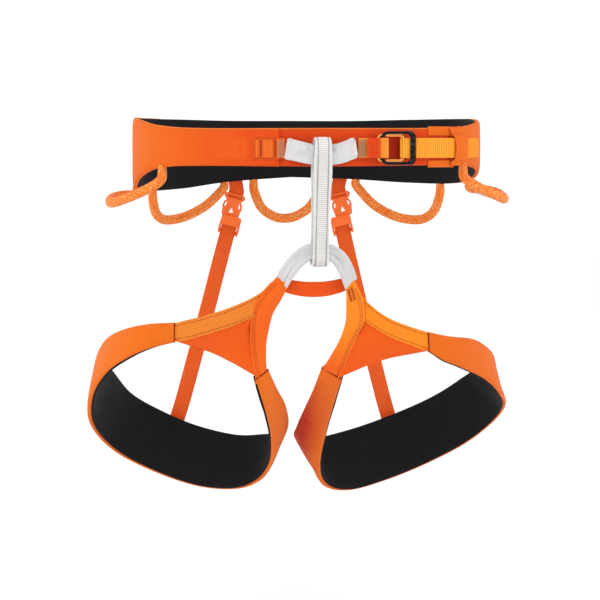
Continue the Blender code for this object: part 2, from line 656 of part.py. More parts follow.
def leg_loop(side, look):
    left = side == "left"
    band = (LEFT_BAND_TOP, LEFT_BAND_BOTTOM) if left else (RIGHT_BAND_TOP, RIGHT_BAND_BOTTOM)
    outlines = ((LEFT_UPPER_TOP, LEFT_UPPER_BOTTOM, LEFT_MEDIAL_INNER, LEFT_MEDIAL_OUTER) if left else
                (RIGHT_UPPER_TOP, RIGHT_UPPER_BOTTOM, RIGHT_MEDIAL_INNER, RIGHT_MEDIAL_OUTER))
    made = leg_layers(side, *band, 1 if left else -1, look) + yoke(side, outlines, look)
    centre_x = (ARCH_PATH[0][0] if left else ARCH_PATH[-1][0]) * MM
    holder = joint_empty(f"{side}_leg_pivot", (centre_x, *FOOT_AXIS))
    hang_on(holder, *made)
    return holder


# Rear straps and clips ---------------------------------------------------------------------------------

def clip_axes(side):
    """The direction down a rear strap's first stretch, and the one across it."""
    points = np.array(REAR_STRAPS[side]) * MM
    down = unit(points[2] - points[1])
    across = unit(np.array((1.0, 0, 0)) - down * down[0])
    return points, down, across


def rear_strap(side, look, holder):
    points, down, across = clip_axes(side)

    # The stub is sewn to the outside of the belt and runs down into the hook's slot.
    hang_x = points[0][0]
    nearest = BELT_GIRTH / 2 - (hang_x - BELT_CENTRE_X)
    edge = float(belt_edge(nearest, 2))
    sewn = 1.3 * MM
    stub = spline([on_belt(nearest, sewn, edge + 16 * MM)[0], on_belt(nearest, sewn, edge + 2 * MM)[0],
                   points[0] - down * 8 * MM, points[0] + down * 0.8 * MM], even(9))
    turn = np.append(belt_outward(np.array([nearest]))[0], 0)
    flat = np.array((turn[1], -turn[0], 0)) * (1 if turn[1] > 0 else -1)
    sides = [unit(flat * (1 - s) + across * s) for s in np.clip(even(9) * 1.5, 0, 1)]
    strap(f"{side}_rear_stub", stub, sides, REAR_WEBBING, 1.2 * MM, look["webbing"])

    # Male hook: a slotted ring on the stub with an arrow plate below it.
    ring_at = points[0] - down * 1.0 * MM
    out = unit(np.cross(across, down))
    out = out if out[1] > 0 else -out
    slot = (0, 0, REAR_WEBBING + 1.2 * MM, 2.6 * MM)
    ring = frame_plate(f"{side}_clip_hook", (CLIP_WIDTH + 2.5 * MM, 6.2 * MM), 2 * MM, 4.4 * MM,
                       look["plastic"], placing(ring_at, across, out), holes=[slot], corner=1.5 * MM)
    arrow_at = points[0] + down * 10.2 * MM - out * 1.8 * MM
    arrow = frame_plate(f"{side}_arrow", (12.5 * MM, 19.5 * MM), 3 * MM, 1.8 * MM, look["plastic"],
                        placing(arrow_at, across, -down), holes=[(0, -3.2 * MM, 5.5 * MM, 5.5 * MM)],
                        corner=1.5 * MM)
    union = ring.modifiers.new("arrow", "BOOLEAN")
    union.operation = "UNION"
    union.object = arrow
    arrow.hide_render = True
    arrow.display_type = "WIRE"

    # Female clip: a slotted ring that slides on the lower strap, with a catch plate behind the arrow.
    low_at = points[1] + down * 9.5 * MM
    clip = frame_plate(f"{side}_clip_catch", (CLIP_WIDTH + 1.5 * MM, 6.6 * MM), 2 * MM, 9 * MM,
                       look["plastic"], placing(low_at, across, out), holes=[slot], corner=1.5 * MM)
    plate_at = points[1] - down * 0.2 * MM + out * 1.9 * MM
    plate = frame_plate(f"{side}_catch_plate", (CLIP_WIDTH, 12 * MM), 3 * MM, 1.8 * MM,
                        look["plastic"], placing(plate_at, across, -down),
                        holes=[(0, -0.5 * MM, 6 * MM, 3.4 * MM)], corner=2 * MM)
    union = clip.modifiers.new("plate", "BOOLEAN")
    union.operation = "UNION"
    union.object = plate
    plate.hide_render = True
    plate.display_type = "WIRE"

    # Lower strap: from inside the catch down to the back of the leg loop's band.
    path = spline([low_at - down * 3 * MM] + list(points[2:]), even(14))
    lower = strap(f"{side}_rear_strap", path, np.tile(across, (14, 1)), REAR_WEBBING, 1.2 * MM,
                  look["webbing"])
    hang_on(holder, lower)
    hang_on(joint_empty(f"{side}_clip_slide", low_at), clip)
    return arrow, plate


# Gear loops --------------------------------------------------------------------------------------------

def gear_loop(name, start, end, drop, bulge, curve, look):
    """A stiff round loop whose two ends are held in the belt's lower edge."""
    start, end = start * MM, end * MM
    if abs(start - end) > BELT_GIRTH / 2:
        end = end + BELT_GIRTH if end < start else end - BELT_GIRTH
    share, hang, lift = np.array(GEAR_CURVES[curve])
    distances = start + (end - start) * share
    middle = -(SHELL_THICKNESS + FOAM_THICKNESS) / 2
    edge = np.interp(even(9), (0, 1), belt_edge(distances[[0, -1]], 2)) - GEAR_END_GAP
    points = on_belt(distances, middle + lift * bulge * MM, edge - hang * drop * MM)
    path = spline(points, even(19))
    sheath = round_tube(f"{name}_gear_loop_sheath", path, SHEATH_RADIUS, look["sheath"], wall=SHEATH_WALL)
    core = round_tube(f"{name}_gear_loop_tube", path, CORE_RADIUS, look["tube"], sides=6)
    hang_on(joint_empty(f"{name}_gear_loop_pivot", (path[0] + path[-1]) / 2), sheath, core)


def main():
    start_scene()
    look = finishes()
    waist_belt(look)
    upper_tie_in(look)
    waist_buckle(look)
    keeper(look)
    belay_loop(look)
    lower_tie_in(look)
    cutters = bpy.data.collections.new("cutters")
    bpy.context.scene.collection.children.link(cutters)
    for side in ("left", "right"):
        holder = leg_loop(side, look)
        for helper in rear_strap(side, look, holder):
            parts.objects.unlink(helper)
            cutters.objects.link(helper)
    for name, shape in GEAR_LOOPS.items():
        gear_loop(name, *shape, look)
    for body in parts.objects:
        if body.type == "MESH":
            body.data.shade_smooth()
            body.data.set_sharp_from_angle(angle=math.radians(40))


main()
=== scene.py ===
"""The looks of the climbing sit harness: padding, webbing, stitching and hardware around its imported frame.

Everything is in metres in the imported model's own frame: +Z up, and the wearer faces -Y. Left and right in
the names are as seen from in front. Distances along the waist belt start at its front's centre and grow
towards +X.
"""

import json
import math

import bmesh
import bpy
import numpy as np
from mathutils import Matrix, Vector

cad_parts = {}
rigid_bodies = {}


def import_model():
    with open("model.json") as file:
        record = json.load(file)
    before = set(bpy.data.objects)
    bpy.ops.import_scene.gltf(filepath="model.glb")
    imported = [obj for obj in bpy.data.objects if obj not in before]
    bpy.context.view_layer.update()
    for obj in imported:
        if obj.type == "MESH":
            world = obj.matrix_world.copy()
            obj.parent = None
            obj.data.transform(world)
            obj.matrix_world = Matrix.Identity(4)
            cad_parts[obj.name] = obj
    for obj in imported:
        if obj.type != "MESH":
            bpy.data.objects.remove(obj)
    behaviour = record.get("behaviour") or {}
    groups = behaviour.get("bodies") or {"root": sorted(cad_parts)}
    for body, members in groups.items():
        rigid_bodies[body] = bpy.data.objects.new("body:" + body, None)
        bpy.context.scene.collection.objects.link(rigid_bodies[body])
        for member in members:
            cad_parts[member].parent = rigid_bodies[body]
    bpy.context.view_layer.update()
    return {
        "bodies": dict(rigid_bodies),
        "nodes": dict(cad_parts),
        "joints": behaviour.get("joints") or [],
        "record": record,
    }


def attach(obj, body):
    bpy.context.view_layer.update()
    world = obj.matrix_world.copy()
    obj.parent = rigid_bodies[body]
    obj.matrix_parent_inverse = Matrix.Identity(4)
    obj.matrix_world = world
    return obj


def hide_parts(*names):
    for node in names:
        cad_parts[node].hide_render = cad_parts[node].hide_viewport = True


MM = 0.001

# Waist belt in plan: a squarish oval. Its height changes on the way round: share of the way from front to
# back, then the top and the bottom edge's height.
BELT_CENTRE_X = 1 * MM
BELT_HALF_WIDTH = 152 * MM
BELT_HALF_DEPTH = 104 * MM
BELT_SQUARENESS = 2.3
BELT_LEFT_EDGES = ((0, 15.4, -17), (0.25, 15.4, -16), (0.36, 18, -18), (0.44, 23, -26), (0.52, 25, -35),
                   (0.62, 25, -39), (0.74, 24, -37), (0.86, 23, -31), (1, 23, -27))
BELT_RIGHT_EDGES = ((0, 15.4, -17), (0.25, 15.8, -16), (0.36, 19, -17), (0.44, 23, -22), (0.52, 25, -29),
                    (0.62, 25, -33), (0.74, 24, -32), (0.86, 23, -29), (1, 23, -27))
SHELL_ENDS = (121 * MM, -38 * MM)
TONGUE_ENDS = (-50 * MM, 140 * MM)
SEAM_AT = -117 * MM
RIDGE_AT = -68 * MM
PATCH_ENDS = (-101 * MM, -65 * MM)
TAB_ENDS = (95 * MM, 124 * MM)

# Layers of the padding, as offsets in from its outer face.
COVER_DEPTH = 3.7 * MM
PAD_PRESSURE = 60
PAD_SWELL = 0.9 * MM
PAD_SPARE = 0.01
LINING_OUTER = 3.8 * MM
LINING_INNER = 5.7 * MM

WEBBING = 17 * MM
WEBBING_THICKNESS = 1.4 * MM

# Upper tie-in, belay loop and lower tie-in.
STUB_ENDS = (-60 * MM, -33 * MM)
TIE_IN_ENDS = (-32 * MM, 25.8 * MM)
TIE_IN_FRONT = -115.5 * MM
TIE_IN_HEIGHT = 17.8 * MM
TIE_IN_DROP = -6 * MM
SLEEVE_THICKNESS = 4.4 * MM
BELAY_MIDDLE = -2 * MM
BELAY_GAP = 12 * MM
BELAY_WALL = 2.7 * MM
BELAY_TOP = (-115.5 * MM, 8 * MM)
BELAY_BOTTOM = (-97 * MM, -101 * MM)
ARCH_PATH = ((-32.6, -85.6, -115), (-27.3, -88.6, -105.5), (-20.5, -93.6, -96), (-11, -98, -88.9),
             (-1, -99, -87.6), (8, -97.5, -89.8), (16, -94, -95), (22, -89.5, -104), (27.2, -85.8, -116.5))
ARCH_WIDTH = 13 * MM
CROSSBAR = ((-34, -80.4, -116), (-27, -80.5, -119), (-15, -82, -121), (-4, -82.5, -121.5), (7, -82, -121),
            (18.5, -80.5, -119), (26, -80.4, -116.5))
CROSSBAR_HEIGHT = 13 * MM

# Waist buckle.
BUCKLE_AT = 63 * MM
BUCKLE_BAR = 2.7 * MM
BUCKLE_PLATE = 1.8 * MM
BUCKLE_INNER = (25 * MM, 24 * MM)
BUCKLE_OUTER = (32 * MM, 29 * MM)
BUCKLE_WIDE_BAR = 5 * MM
INNER_FRAME_LEVEL = 3.3 * MM
OUTER_FRAME_LEVEL = 6.4 * MM
STRAP_LEVEL = 1.1 * MM
TAIL_LEVEL = 3.0 * MM
BUCKLE_HEIGHT = -0.8 * MM
KEEPER_ENDS = (121.5 * MM, 137 * MM)

# Leg loops: the outer face's top and bottom edge as matching points, from the outer end of the yoke round
# the thigh to the inner end, in millimetres.
LEFT_BAND_TOP = ((-125, -86, -149), (-146, -79, -150), (-165, -60, -155), (-178, -26, -165),
                 (-182, 18, -183), (-170, 64, -200), (-151, 94, -223), (-121, 110, -241), (-86, 116, -256),
                 (-49, 112, -265), (-23, 94, -264), (-11, 66, -259), (-10, 32, -247), (-18, -8, -227),
                 (-29, -34, -210), (-40, -60, -192))
LEFT_BAND_BOTTOM = ((-125, -84, -166), (-146, -80, -171), (-164, -68, -179), (-182, -42, -194),
                    (-192, -6, -218), (-188, 42, -247), (-165, 82, -274), (-129, 104, -295),
                    (-86, 112, -311), (-50, 106, -314), (-30, 84, -305), (-23, 50, -286), (-27, 10, -260),
                    (-35, -22, -238), (-42, -44, -221), (-51, -62, -200))
RIGHT_BAND_TOP = ((95, -86, -159), (115, -79, -163), (140, -60, -167), (160, -26, -177), (171, 16, -188),
                  (163, 66, -205), (149, 86, -219), (124, 104, -236), (88, 114, -252), (53, 114, -263),
                  (21, 100, -268), (0, 72, -262), (-3, 42, -251), (-1, 10, -234), (2, -28, -213),
                  (5, -60, -191))
RIGHT_BAND_BOTTOM = ((96, -84, -176), (110, -80, -184), (128, -68, -191), (155, -42, -203),
                     (174, -14, -217), (189, 36, -233), (183, 68, -252), (160, 88, -274), (123, 104, -295),
                     (86, 112, -310), (54, 108, -317), (30, 88, -311), (19, 54, -291), (19, 10, -254),
                     (20, -30, -226), (22, -62, -201))

# Yokes, in millimetres.
LEFT_UPPER = (((-38, -86, -111), (-49, -89, -122), (-59, -91, -128), (-73, -92, -134), (-87, -92, -139),
               (-104, -90, -144), (-123.5, -86, -149)),
              ((-47, -85.5, -131), (-57, -87, -144), (-66, -88, -148), (-75, -88.3, -152), (-84, -88, -155),
               (-104, -87, -161), (-123.5, -84, -165)))
LEFT_MEDIAL = (((-28.5, -84, -122), (-40, -82, -143), (-44, -76, -164), (-44, -70, -178),
                (-41, -61.5, -190.5)),
               ((-46, -85, -132), (-57, -85, -146), (-59, -81, -158), (-57, -72, -178), (-51, -63, -198)))
RIGHT_UPPER = (((30.5, -86, -115), (35, -89, -127), (42.5, -91, -134), (51, -92, -141), (61, -91.5, -147),
                (72, -90, -151.5), (93.5, -86, -158.5)),
               ((35.5, -85.5, -136), (38.5, -87, -148), (47, -88, -154.5), (56, -88.5, -160),
                (65, -88, -164.5), (74, -87, -168), (94.5, -84, -175.5)))
RIGHT_MEDIAL = (((23, -84, -124), (23, -83.5, -135), (23, -81, -150), (19, -75, -165), (12, -67.5, -180),
                 (5.5, -61.5, -190)),
                ((34.5, -85, -137), (37.5, -85.3, -148), (34, -82, -158), (29, -79, -169),
                 (25.5, -70.5, -186), (21.5, -63, -199)))

# The yokes' straps as sewn: their ends run on into the arch's feet and into the leg bands, and the medial
# strap lies over the end of the upper one.
LEFT_UPPER_SEWN = (((-42, -86.5, -115), (-49, -89, -122), (-59, -91, -128), (-73, -92, -134),
                    (-87, -92, -139), (-104, -90, -144), (-116, -87.2, -147), (-123.5, -84.6, -149),
                    (-129, -82.9, -149.3)),
                   ((-49, -85.7, -133), (-57, -87, -144), (-66, -88, -148), (-75, -88.3, -152),
                    (-84, -88, -155), (-104, -87, -161), (-116, -84.8, -164), (-123.5, -82.7, -165.2),
                    (-129, -81.4, -166.3)))
LEFT_MEDIAL_SEWN = (((-26, -85, -117.5), (-28.5, -84.5, -122), (-34, -83.5, -132), (-40, -82, -143),
                     (-44, -76, -164), (-44, -70, -178), (-42.2, -59.6, -191.4), (-40.6, -54.6, -195.4)),
                    ((-35.5, -86, -107.5), (-38.3, -87.6, -111.5), (-49.5, -90.4, -123),
                     (-58, -88.8, -138), (-59.3, -81.5, -158), (-57, -72, -178), (-52.2, -61.2, -198.9),
                     (-51.7, -57.2, -204.2)))
RIGHT_UPPER_SEWN = (((32, -86.5, -118), (36, -89, -127), (42.5, -91, -134), (51, -92, -141),
                     (61, -91.5, -147), (72, -90, -151.5), (85, -87, -156), (93.5, -84.6, -158.5),
                     (99, -82.5, -159.5)),
                    ((35.5, -85.5, -138), (38.5, -87, -148), (47, -88, -154.5), (56, -88.5, -160),
                     (65, -88, -164.5), (74, -87, -168), (86, -84.6, -172.5), (94.5, -82.7, -175.5),
                     (99, -81.2, -177)))
RIGHT_MEDIAL_SEWN = (((21, -85, -119.5), (23, -84.5, -124), (23.3, -83.5, -135), (23, -81, -150),
                      (19, -75, -165), (12, -67.5, -180), (6.6, -59.8, -191.1), (6.8, -54.5, -194.4)),
                     ((30, -86, -111.5), (31.2, -87.6, -116), (36.5, -90.4, -129), (39, -88.2, -147),
                      (34, -82, -160), (27.5, -75, -178), (22.9, -61.4, -199), (23.9, -56.7, -204.6)))

# Rear straps and their clips.
REAR_WEBBING = 14 * MM
REAR_STRAPS = {
    "left": ((-50.5, 106, -47), (-54, 106.8, -68), (-62.5, 108.4, -100), (-74, 110.6, -145),
             (-86, 113, -190), (-96, 115.6, -228), (-101, 117.2, -245)),
    "right": ((47, 106, -46), (48, 106.8, -68), (55.5, 108.4, -100), (66.5, 110.6, -145),
              (78, 113, -190), (88, 115.6, -228), (93, 117.2, -245)),
}
CLIP_WIDTH = 17.5 * MM
CATCH_DROP = 9.5 * MM

# Gear loops: where both ends leave the belt, as distances along it, how far they hang down and out, and how
# their curve runs.
GEAR_LOOPS = {
    "front_left": (-147, -227, 19, 26, "reaching"),
    "rear_left": (-272, -353, 28, 9, "slanted"),
    "rear_centre": (-381, 389, 35, 11, "upright"),
    "rear_right": (272, 356, 33, 10, "slanted"),
    "front_right": (140, 226, 20, 24, "reaching"),
}
# The curves: shares of the way from one end to the other, then of the hang and of the bulge there.
GEAR_CURVES = {
    "upright": ((0, 0.015, 0.13, 0.32, 0.5, 0.68, 0.87, 0.985, 1),
                (0, 0.26, 0.68, 0.93, 1, 0.93, 0.68, 0.26, 0),
                (0, 0.06, 0.45, 0.88, 1, 0.88, 0.45, 0.06, 0)),
    "slanted": ((0, 0.015, 0.12, 0.28, 0.46, 0.64, 0.82, 0.985, 1),
                (0, 0.28, 0.72, 0.97, 1, 0.88, 0.6, 0.14, 0),
                (0, 0.06, 0.45, 0.88, 1, 0.88, 0.5, 0.06, 0)),
    "reaching": ((0, 0.012, 0.1, 0.28, 0.5, 0.72, 0.9, 0.988, 1),
                 (0, 0.32, 0.6, 0.91, 1, 0.68, 0.44, 0.3, 0),
                 (0, 0.04, 0.36, 0.82, 1, 0.82, 0.4, 0.05, 0)),
}
SHEATH_RADIUS = 4.0 * MM
GEAR_END_GAP = 2 * MM


# Curves ------------------------------------------------------------------------------------------------

def spline(points, parameter):
    """The smooth curve through the points, read at values of parameter from 0 to 1 by distance."""
    points = np.asarray(points, float)
    first, last = 2 * points[0] - points[1], 2 * points[-1] - points[-2]
    padded = np.vstack([first, points, last])
    steps = 24
    dense = []
    for index in range(len(points) - 1):
        before, start, end, after = padded[index:index + 4]
        for step in range(steps):
            t = step / steps
            dense.append(0.5 * (2 * start + (end - before) * t
                                + (2 * before - 5 * start + 4 * end - after) * t ** 2
                                + (3 * start - before - 3 * end + after) * t ** 3))
    dense = np.array(dense + [points[-1]])
    travelled = distances_along(dense)
    wanted = np.asarray(parameter) * travelled[-1]
    return np.column_stack([np.interp(wanted, travelled, dense[:, axis]) for axis in range(dense.shape[1])])


def distances_along(path):
    return np.concatenate([[0], np.cumsum(np.linalg.norm(np.diff(path, axis=0), axis=1))])


def even(count):
    return np.linspace(0, 1, count)


def unit(vectors):
    return vectors / np.linalg.norm(vectors, axis=-1, keepdims=True)


def bump_at(values, centre, reach):
    """A smooth bump of height 1 at the centre, which has died away at the reach."""
    return np.exp(-((values - centre) / (0.5 * reach)) ** 2)


def belt_table():
    """Plan points of the belt's outer face and the distance to each from the front's centre."""
    angles = np.linspace(0, 2 * math.pi, 1441)
    power = 2 / BELT_SQUARENESS
    across, ahead = np.sin(angles), np.cos(angles)
    x = BELT_CENTRE_X + BELT_HALF_WIDTH * np.sign(across) * np.abs(across) ** power
    y = -BELT_HALF_DEPTH * np.sign(ahead) * np.abs(ahead) ** power
    return x, y, distances_along(np.column_stack([x, y]))


BELT_X, BELT_Y, BELT_RUN = belt_table()
BELT_GIRTH = BELT_RUN[-1]
# Painted shade: the waist cover darkens to a deeper red towards the front's centre, which gets less light
# than the sides. These are the distances along it where that starts and where it is full.
WAIST_PAINTED_SHADE = (BELT_GIRTH - 175 * MM, BELT_GIRTH - 62 * MM)
# Painted shade: the right leg loop goes deep red on its inner part, towards its top edge, where little light
# reaches between the legs. Distances along the band where that starts and where it fades out again.
RIGHT_LEG_PAINTED_SHADE = (385 * MM, 430 * MM)
RIGHT_LEG_PAINTED_SHADE_END = (475 * MM, 560 * MM)


def belt_plan(distance):
    distance = np.asarray(distance) % BELT_GIRTH
    return np.column_stack([np.interp(distance, BELT_RUN, BELT_X), np.interp(distance, BELT_RUN, BELT_Y)])


def belt_outward(distance):
    reach = 2 * MM
    along = belt_plan(np.asarray(distance) + reach) - belt_plan(np.asarray(distance) - reach)
    return unit(np.column_stack([along[:, 1], -along[:, 0]]))


def on_belt(distance, offset, height):
    """Points at a distance along the belt, an offset out from its outer face, and a height."""
    distance = np.atleast_1d(np.asarray(distance, float))
    plan = belt_plan(distance) + belt_outward(distance) * np.reshape(offset, (-1, 1))
    return np.column_stack([plan, np.broadcast_to(height, len(distance))])


def belt_edge(distance, which):
    """The height of the belt's top (1) or bottom (2) edge at a distance along it."""
    distance = np.asarray(distance, float) % BELT_GIRTH
    right = distance < BELT_GIRTH / 2
    share = np.where(right, distance, BELT_GIRTH - distance) / (BELT_GIRTH / 2)
    heights = []
    for edges in (BELT_LEFT_EDGES, BELT_RIGHT_EDGES):
        curve = spline(np.array(edges) * (1, MM, MM), even(400))
        heights.append(np.interp(share, curve[:, 0], curve[:, which]))
    return np.where(right, heights[1], heights[0])


class Band:
    """A ribbon between two edges, whose points are matched. Its face looks away from the inside point."""

    def __init__(self, top, bottom, inside, closed=False, run=None):
        self.top, self.bottom, self.closed = np.asarray(top), np.asarray(bottom), closed
        self.width = np.linalg.norm(self.top - self.bottom, axis=1)
        middle = (self.top + self.bottom) / 2
        self.run = distances_along(middle) if run is None else np.asarray(run)
        rows = self.bottom[:, None] * (1 - even(9))[:, None] + self.top[:, None] * even(9)[:, None]
        around = np.roll(rows, -1, axis=0) - np.roll(rows, 1, axis=0)
        along = around if closed else np.gradient(rows, axis=0)
        self.along = unit(along)
        normals = unit(np.cross(along, np.gradient(rows, axis=1)))
        outwards = np.sum(normals * (rows - np.asarray(inside)))
        self.normals = normals * (1 if outwards > 0 else -1)

    def read(self, field, reach):
        """A field of the band at distances across from its middle, positive towards its top edge."""
        share = np.clip(0.5 + reach / self.width[:, None], 0, 1) * 8
        low = np.minimum(share.astype(int), 7)
        part = (share - low)[..., None]
        row = np.arange(len(self.width))[:, None]
        return unit(field[row, low] * (1 - part) + field[row, low + 1] * part)

    def at(self, reach, offset):
        """Points at distances across from the middle and offsets out from the face, both (n, m)."""
        share = (0.5 + reach / self.width[:, None])[..., None]
        place = self.bottom[:, None] * (1 - share) + self.top[:, None] * share
        return place + self.read(self.normals, reach) * offset[..., None]


def belt_ribbon(start, end, step=2.5 * MM, top_inset=0.0, bottom_inset=0.0):
    """A stretch of the belt's outer face. Its run is the distance along the belt."""
    count = int(abs(end - start) / step) + 2
    distance = np.linspace(start, end, count)
    top = on_belt(distance, 0, 0)
    bottom = top.copy()
    top[:, 2] = belt_edge(distance, 1) - top_inset
    bottom[:, 2] = belt_edge(distance, 2) + bottom_inset
    return Band(top, bottom, (0, 0, 0), run=distance)


def strap_ribbon(path, sides, width, inside):
    path, sides = np.asarray(path), np.asarray(sides)
    half = np.reshape(width, (-1, 1)) / 2 * sides
    return Band(path + half, path - half, inside)


def edges_ribbon(edges, count, inside):
    """A ribbon between two smooth edges given in millimetres."""
    paired = np.column_stack([np.asarray(edges[0], float), np.asarray(edges[1], float)]) * MM
    smooth = spline(paired, even(count))
    return Band(smooth[:, :3], smooth[:, 3:], inside)


# Meshes ------------------------------------------------------------------------------------------------

def finished(name, mesh, sharp_from, welded=0.0):
    """Turns a mesh's faces out, shades it smooth up to an angle in degrees, and puts it in the scene."""
    built = bmesh.new()
    built.from_mesh(mesh)
    if welded:
        bmesh.ops.remove_doubles(built, verts=built.verts, dist=welded)
    bmesh.ops.recalc_face_normals(built, faces=built.faces)
    built.to_mesh(mesh)
    built.free()
    mesh.shade_smooth()
    mesh.set_sharp_from_angle(angle=math.radians(sharp_from))
    body = bpy.data.objects.new(name, mesh)
    bpy.context.scene.collection.objects.link(body)
    return body


def new_body(name, points, faces, cloth=None):
    """An object with its faces turned out. The cloth attribute holds metres along and across the fabric."""
    mesh = bpy.data.meshes.new(name)
    mesh.from_pydata(np.asarray(points, float).reshape(-1, 3).tolist(), [], faces)
    if cloth is not None:
        held = mesh.attributes.new("cloth", "FLOAT_VECTOR", "POINT")
        held.data.foreach_set("vector", np.asarray(cloth, np.float32).ravel())
    return finished(name, mesh, 50)


def ring_faces(count, around, closed, start=0):
    """Quads between rings of points, with the two end rings filled if the path is open."""
    faces = []
    for i in range(count if closed else count - 1):
        here, there = start + i * around, start + (i + 1) % count * around
        faces += [(here + j, here + (j + 1) % around, there + (j + 1) % around, there + j)
                  for j in range(around)]
    if not closed:
        last = start + (count - 1) * around
        faces += [tuple(range(start + around - 1, start - 1, -1)), tuple(range(last, last + around))]
    return faces


def ribbon(name, band, front, back, across=9, rounding=3, inset=0.0, crown=0.0, relief=None):
    """A closed body along a band, between two offsets from its face, with half-round long edges."""
    radius = (front - back) / 2
    half = np.maximum(band.width[:, None] / 2 - inset - radius, 0.2 * MM)
    share = np.linspace(-1, 1, across)
    turn = np.linspace(math.pi / 2, -math.pi / 2, rounding + 2)[1:-1]
    face, edge = half * share, half + radius * np.cos(turn)
    reach = np.concatenate([face, edge, face[:, ::-1], -edge[:, ::-1]], axis=1)
    rim = (front + back) / 2 + radius * np.sin(turn)
    level = np.concatenate([front + crown * (1 - share ** 4), rim, np.full(across, back), rim[::-1]])
    side = np.concatenate([np.ones(across), np.zeros(rounding), -np.ones(across), np.zeros(rounding)])
    offset = np.broadcast_to(level, reach.shape).copy()
    run = np.broadcast_to(band.run[:, None], reach.shape)
    if relief is not None:
        offset += relief(run, reach, side)
    cloth = np.stack([run, reach, np.broadcast_to(side, reach.shape)], axis=-1)
    rings = band.at(reach, offset)
    return new_body(name, rings, ring_faces(*rings.shape[:2], band.closed), cloth)


def frames_along(path, closed=False):
    """Directions along a path and two across it that turn as little as they can."""
    path = np.asarray(path)
    if closed:
        along = unit(np.roll(path, -1, axis=0) - np.roll(path, 1, axis=0))
    else:
        along = unit(np.gradient(path, axis=0))
    across = np.cross(along[0], (0.13, 0.31, 0.94))
    first, second = [], []
    for forward in along:
        across = unit(across - forward * np.dot(across, forward))
        first.append(across)
        second.append(np.cross(forward, across))
    return along, np.array(first), np.array(second)


def tube_rings(path, radius, sides, closed=False):
    _, first, second = frames_along(path, closed)
    turns = np.arange(sides) * 2 * math.pi / sides
    radius = np.broadcast_to(np.reshape(radius, (-1, 1, 1)), (len(path), 1, 1))
    circle = (first[:, None] * np.cos(turns)[:, None] + second[:, None] * np.sin(turns)[:, None])
    return np.asarray(path)[:, None] + circle * radius


def tube(name, path, radius, sides=8, closed=False):
    rings = tube_rings(path, radius, sides, closed)
    turned = np.broadcast_to(np.arange(sides) / sides, rings.shape[:2])
    run = np.broadcast_to(distances_along(path)[:, None], rings.shape[:2])
    cloth = np.stack([run, turned, np.ones(rings.shape[:2])], axis=-1)
    return new_body(name, rings, ring_faces(*rings.shape[:2], closed), cloth)


def threads(name, paths, radius, sides=5):
    """Several threads as one mesh."""
    points, faces = [], []
    for path in paths:
        rings = tube_rings(path, radius, sides)
        faces += ring_faces(len(path), sides, False, sum(map(len, points)))
        points.append(rings.reshape(-1, 3))
    return new_body(name, np.concatenate(points), faces)


def seam_line(band, reach, offset, start=None, end=None, pitch=2.4 * MM):
    """Stitch places on a band: points, the directions along it, and its normals there."""
    reach = np.broadcast_to(np.reshape(reach, (-1, 1)), (len(band.run), 1))
    line = band.at(reach, np.full(reach.shape, offset))[:, 0]
    normals, travelled = band.read(band.normals, reach)[:, 0], distances_along(line)
    start = travelled[0] if start is None else start
    end = travelled[-1] if end is None else end
    places = np.arange(start + pitch / 2, end, pitch)

    def read(values):
        return np.column_stack([np.interp(places, travelled, values[:, axis]) for axis in range(3)])
    return read(line), unit(read(unit(np.gradient(line, axis=0)))), unit(read(normals))


def stitches(name, lines, length=1.7 * MM, radius=0.28 * MM):
    """Lock stitches: small rounded pegs lying along their seams, as one mesh."""
    sides = 6
    turns = np.arange(sides) * 2 * math.pi / sides
    shape = [(x * length, size * radius * math.cos(t), size * radius * math.sin(t))
             for x, size in ((-0.5, 0.45), (-0.3, 1), (0.3, 1), (0.5, 0.45)) for t in turns]
    shape = np.array(shape)
    points, faces = [], []
    for places, along, normals in lines:
        for place, forward, up in zip(places, along, normals):
            aside = np.cross(forward, up)
            faces += ring_faces(4, sides, False, len(points) * len(shape))
            points.append(place + shape @ np.array((forward, aside, up)))
    return new_body(name, np.concatenate(points), faces)


def on_band(band, run, reach, offset):
    """Points at given runs and distances across."""
    order = np.argsort(band.run)
    columns = []
    for field in (band.top, band.bottom, band.normals[:, 4]):
        columns.append(np.column_stack([np.interp(run, band.run[order], field[order, axis])
                                        for axis in range(3)]))
    top, bottom, normal = columns
    share = (0.5 + reach / np.linalg.norm(top - bottom, axis=1))[:, None]
    return bottom * (1 - share) + top * share + unit(normal) * np.reshape(offset, (-1, 1))


def inflate(body, held, pressure, most, spare=0.0):
    """Fills a closed fabric body with pressure by cloth simulation. Held points stay, and none moves far."""
    rest = np.array([vert.co for vert in body.data.vertices])
    group = body.vertex_groups.new(name="held")
    group.add([int(index) for index in np.flatnonzero(held)], 1.0, "REPLACE")
    cloth = body.modifiers.new("cloth", "CLOTH")
    settings = cloth.settings
    settings.quality = 6
    settings.mass = 0.05
    settings.tension_stiffness = settings.compression_stiffness = settings.shear_stiffness = 12
    settings.bending_stiffness = 0.4
    settings.use_pressure = True
    settings.uniform_pressure_force = pressure
    settings.shrink_min = -spare
    settings.vertex_group_mass = "held"
    settings.effector_weights.gravity = 0
    cloth.collision_settings.use_self_collision = False
    cloth.collision_settings.use_collision = False
    scene = bpy.context.scene
    for frame in range(1, 17):
        scene.frame_set(frame)
    evaluated = body.evaluated_get(bpy.context.evaluated_depsgraph_get())
    moved = np.array([vert.co for vert in evaluated.data.vertices]) - rest
    size = np.linalg.norm(moved, axis=1, keepdims=True)
    moved *= most * np.tanh(size / most) / np.maximum(size, 1e-9)
    body.modifiers.remove(cloth)
    body.vertex_groups.remove(group)
    body.data.vertices.foreach_set("co", (rest + moved).astype(np.float32).ravel())
    body.data.update()
    scene.frame_set(1)


# Materials ---------------------------------------------------------------------------------------------

def paint(red, green, blue):
    """A linear colour from the usual screen values of 0 to 255."""
    return tuple(((v / 255 + 0.055) / 1.055) ** 2.4 if v > 10 else v / 255 / 12.92
                 for v in (red, green, blue)) + (1,)


